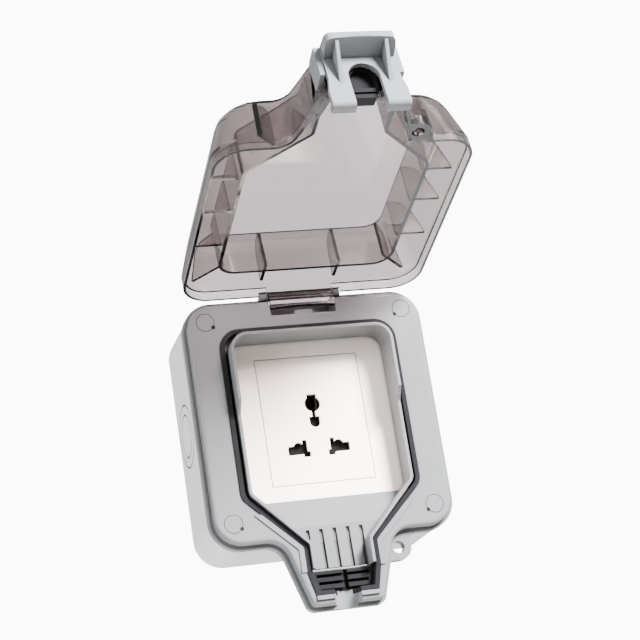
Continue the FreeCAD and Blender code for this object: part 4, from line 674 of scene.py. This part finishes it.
def surround(tree, studio):
    """White surround, dimmer from below, that is brighter where it is seen directly."""
    tree.nodes.clear()
    out = add(tree, "ShaderNodeOutputWorld")
    glow = add(tree, "ShaderNodeBackground")
    ray = add(tree, "ShaderNodeLightPath")
    way = add(tree, "ShaderNodeTexCoord")
    axes = add(tree, "ShaderNodeSeparateXYZ")
    tree.links.new(way.outputs["Generated"], axes.inputs[0])
    height = add(tree, "ShaderNodeMapRange")
    tree.links.new(axes.outputs["Z"], height.inputs["Value"])
    height.inputs["From Min"].default_value = SKY_LOW
    height.inputs["From Max"].default_value = SKY_HIGH
    height.inputs["To Min"].default_value = studio.sky_strength * SKY_BELOW
    height.inputs["To Max"].default_value = studio.sky_strength
    level = height.outputs[0]
    for seen, strength in (("Is Transmission Ray", studio.sky_through), ("Is Camera Ray", studio.sky_seen)):
        pick = add(tree, "ShaderNodeMix", data_type="FLOAT")
        tree.links.new(ray.outputs[seen], pick.inputs[0])
        tree.links.new(level, pick.inputs[2])
        pick.inputs[3].default_value = strength
        level = pick.outputs[0]
    tree.links.new(level, glow.inputs["Strength"])
    tree.links.new(glow.outputs[0], out.inputs["Surface"])


class OUTLET_OT_stage(bpy.types.Operator):
    """Lays the floor, hangs the lights and sets the camera"""
    bl_idname = "outlet.stage"
    bl_label = "Studio"

    def execute(self, context):
        studio = context.scene.outlet_studio
        mesh = bpy.data.meshes.new("studio_floor")
        build = bmesh.new()
        bmesh.ops.create_grid(build, x_segments=FLOOR_CELLS, y_segments=FLOOR_CELLS, size=FLOOR_HALF)
        build.to_mesh(mesh)
        build.free()
        floor = bpy.data.objects.new("studio_floor", mesh)
        floor.location = (0.0, 0.0, studio.floor_level)
        context.scene.collection.objects.link(floor)
        mesh.materials.append(plastic("Pale floor", FLOOR_COLOUR, 0.8, mottle=0.02, grain=0.02,
                                      depth=0.0001, gloss=0.2, radius=0.0))
        world = context.scene.world or bpy.data.worlds.new("Studio")
        context.scene.world = world
        world.use_nodes = True
        surround(world.node_tree, studio)
        soft_light("key_light", KEY_PLACE, KEY_SIZE, studio.key_power)
        soft_light("fill_light", FILL_PLACE, FILL_SIZE, studio.fill_power)
        back = Vector((math.sin(LEFT_VIEW) * math.cos(RISE_VIEW),
                       -math.cos(LEFT_VIEW) * math.cos(RISE_VIEW), math.sin(RISE_VIEW)))
        right = Vector((math.cos(LEFT_VIEW), math.sin(LEFT_VIEW), 0.0))
        up = back.cross(right)
        x_axis = math.cos(ROLL_VIEW) * right + math.sin(ROLL_VIEW) * up
        y_axis = math.cos(ROLL_VIEW) * up - math.sin(ROLL_VIEW) * right
        data = bpy.data.cameras.new("photo_camera")
        data.sensor_width = SENSOR_WIDTH
        data.sensor_fit = "HORIZONTAL"
        data.lens = studio.lens
        data.clip_start = CLIP_START
        camera = bpy.data.objects.new("photo_camera", data)
        turn = Matrix((x_axis, y_axis, back)).transposed().to_4x4()
        camera.matrix_world = Matrix.Translation(VIEW_TARGET + back * VIEW_DISTANCE) @ turn
        context.scene.collection.objects.link(camera)
        context.scene.camera = camera
        return {"FINISHED"}


STEPS = (
    OUTLET_OT_back_box,
    OUTLET_OT_front_frame,
    OUTLET_OT_cap_shade_rings,
    OUTLET_OT_groove_webs,
    OUTLET_OT_seals,
    OUTLET_OT_socket,
    OUTLET_OT_contacts,
    OUTLET_OT_cover,
    OUTLET_OT_latch,
    OUTLET_OT_stage,
)


class OUTLET_PT_panel(bpy.types.Panel):
    """Sizes, colours and building steps of the outlet box"""
    bl_idname = "OUTLET_PT_panel"
    bl_label = "Outlet Box"
    bl_space_type = "VIEW_3D"
    bl_region_type = "UI"
    bl_category = "Outlet Box"

    def draw(self, context):
        scene = context.scene
        for settings in (scene.outlet_finish, scene.outlet_cover, scene.outlet_studio):
            box = self.layout.box()
            for name in settings.__annotations__:
                box.prop(settings, name)
        for step in STEPS:
            self.layout.operator(step.bl_idname)


SETTINGS = (
    ("outlet_finish", FinishSettings),
    ("outlet_cover", CoverSettings),
    ("outlet_studio", StudioSettings),
)


def register():
    for name, settings in SETTINGS:
        bpy.utils.register_class(settings)
        setattr(bpy.types.Scene, name, bpy.props.PointerProperty(type=settings))
    for step in STEPS:
        bpy.utils.register_class(step)
    bpy.utils.register_class(OUTLET_PT_panel)


def unregister():
    bpy.utils.unregister_class(OUTLET_PT_panel)
    for step in reversed(STEPS):
        bpy.utils.unregister_class(step)
    for name, settings in reversed(SETTINGS):
        delattr(bpy.types.Scene, name)
        bpy.utils.unregister_class(settings)


def main():
    register()
    bpy.ops.outlet.back_box()
    bpy.ops.outlet.front_frame()
    bpy.ops.outlet.cap_seams()
    bpy.ops.outlet.groove_webs()
    bpy.ops.outlet.seals()
    bpy.ops.outlet.socket()
    bpy.ops.outlet.contacts()
    bpy.ops.outlet.cover()
    bpy.ops.outlet.latch()
    bpy.ops.outlet.stage()


if __name__ == "__main__":
    main()
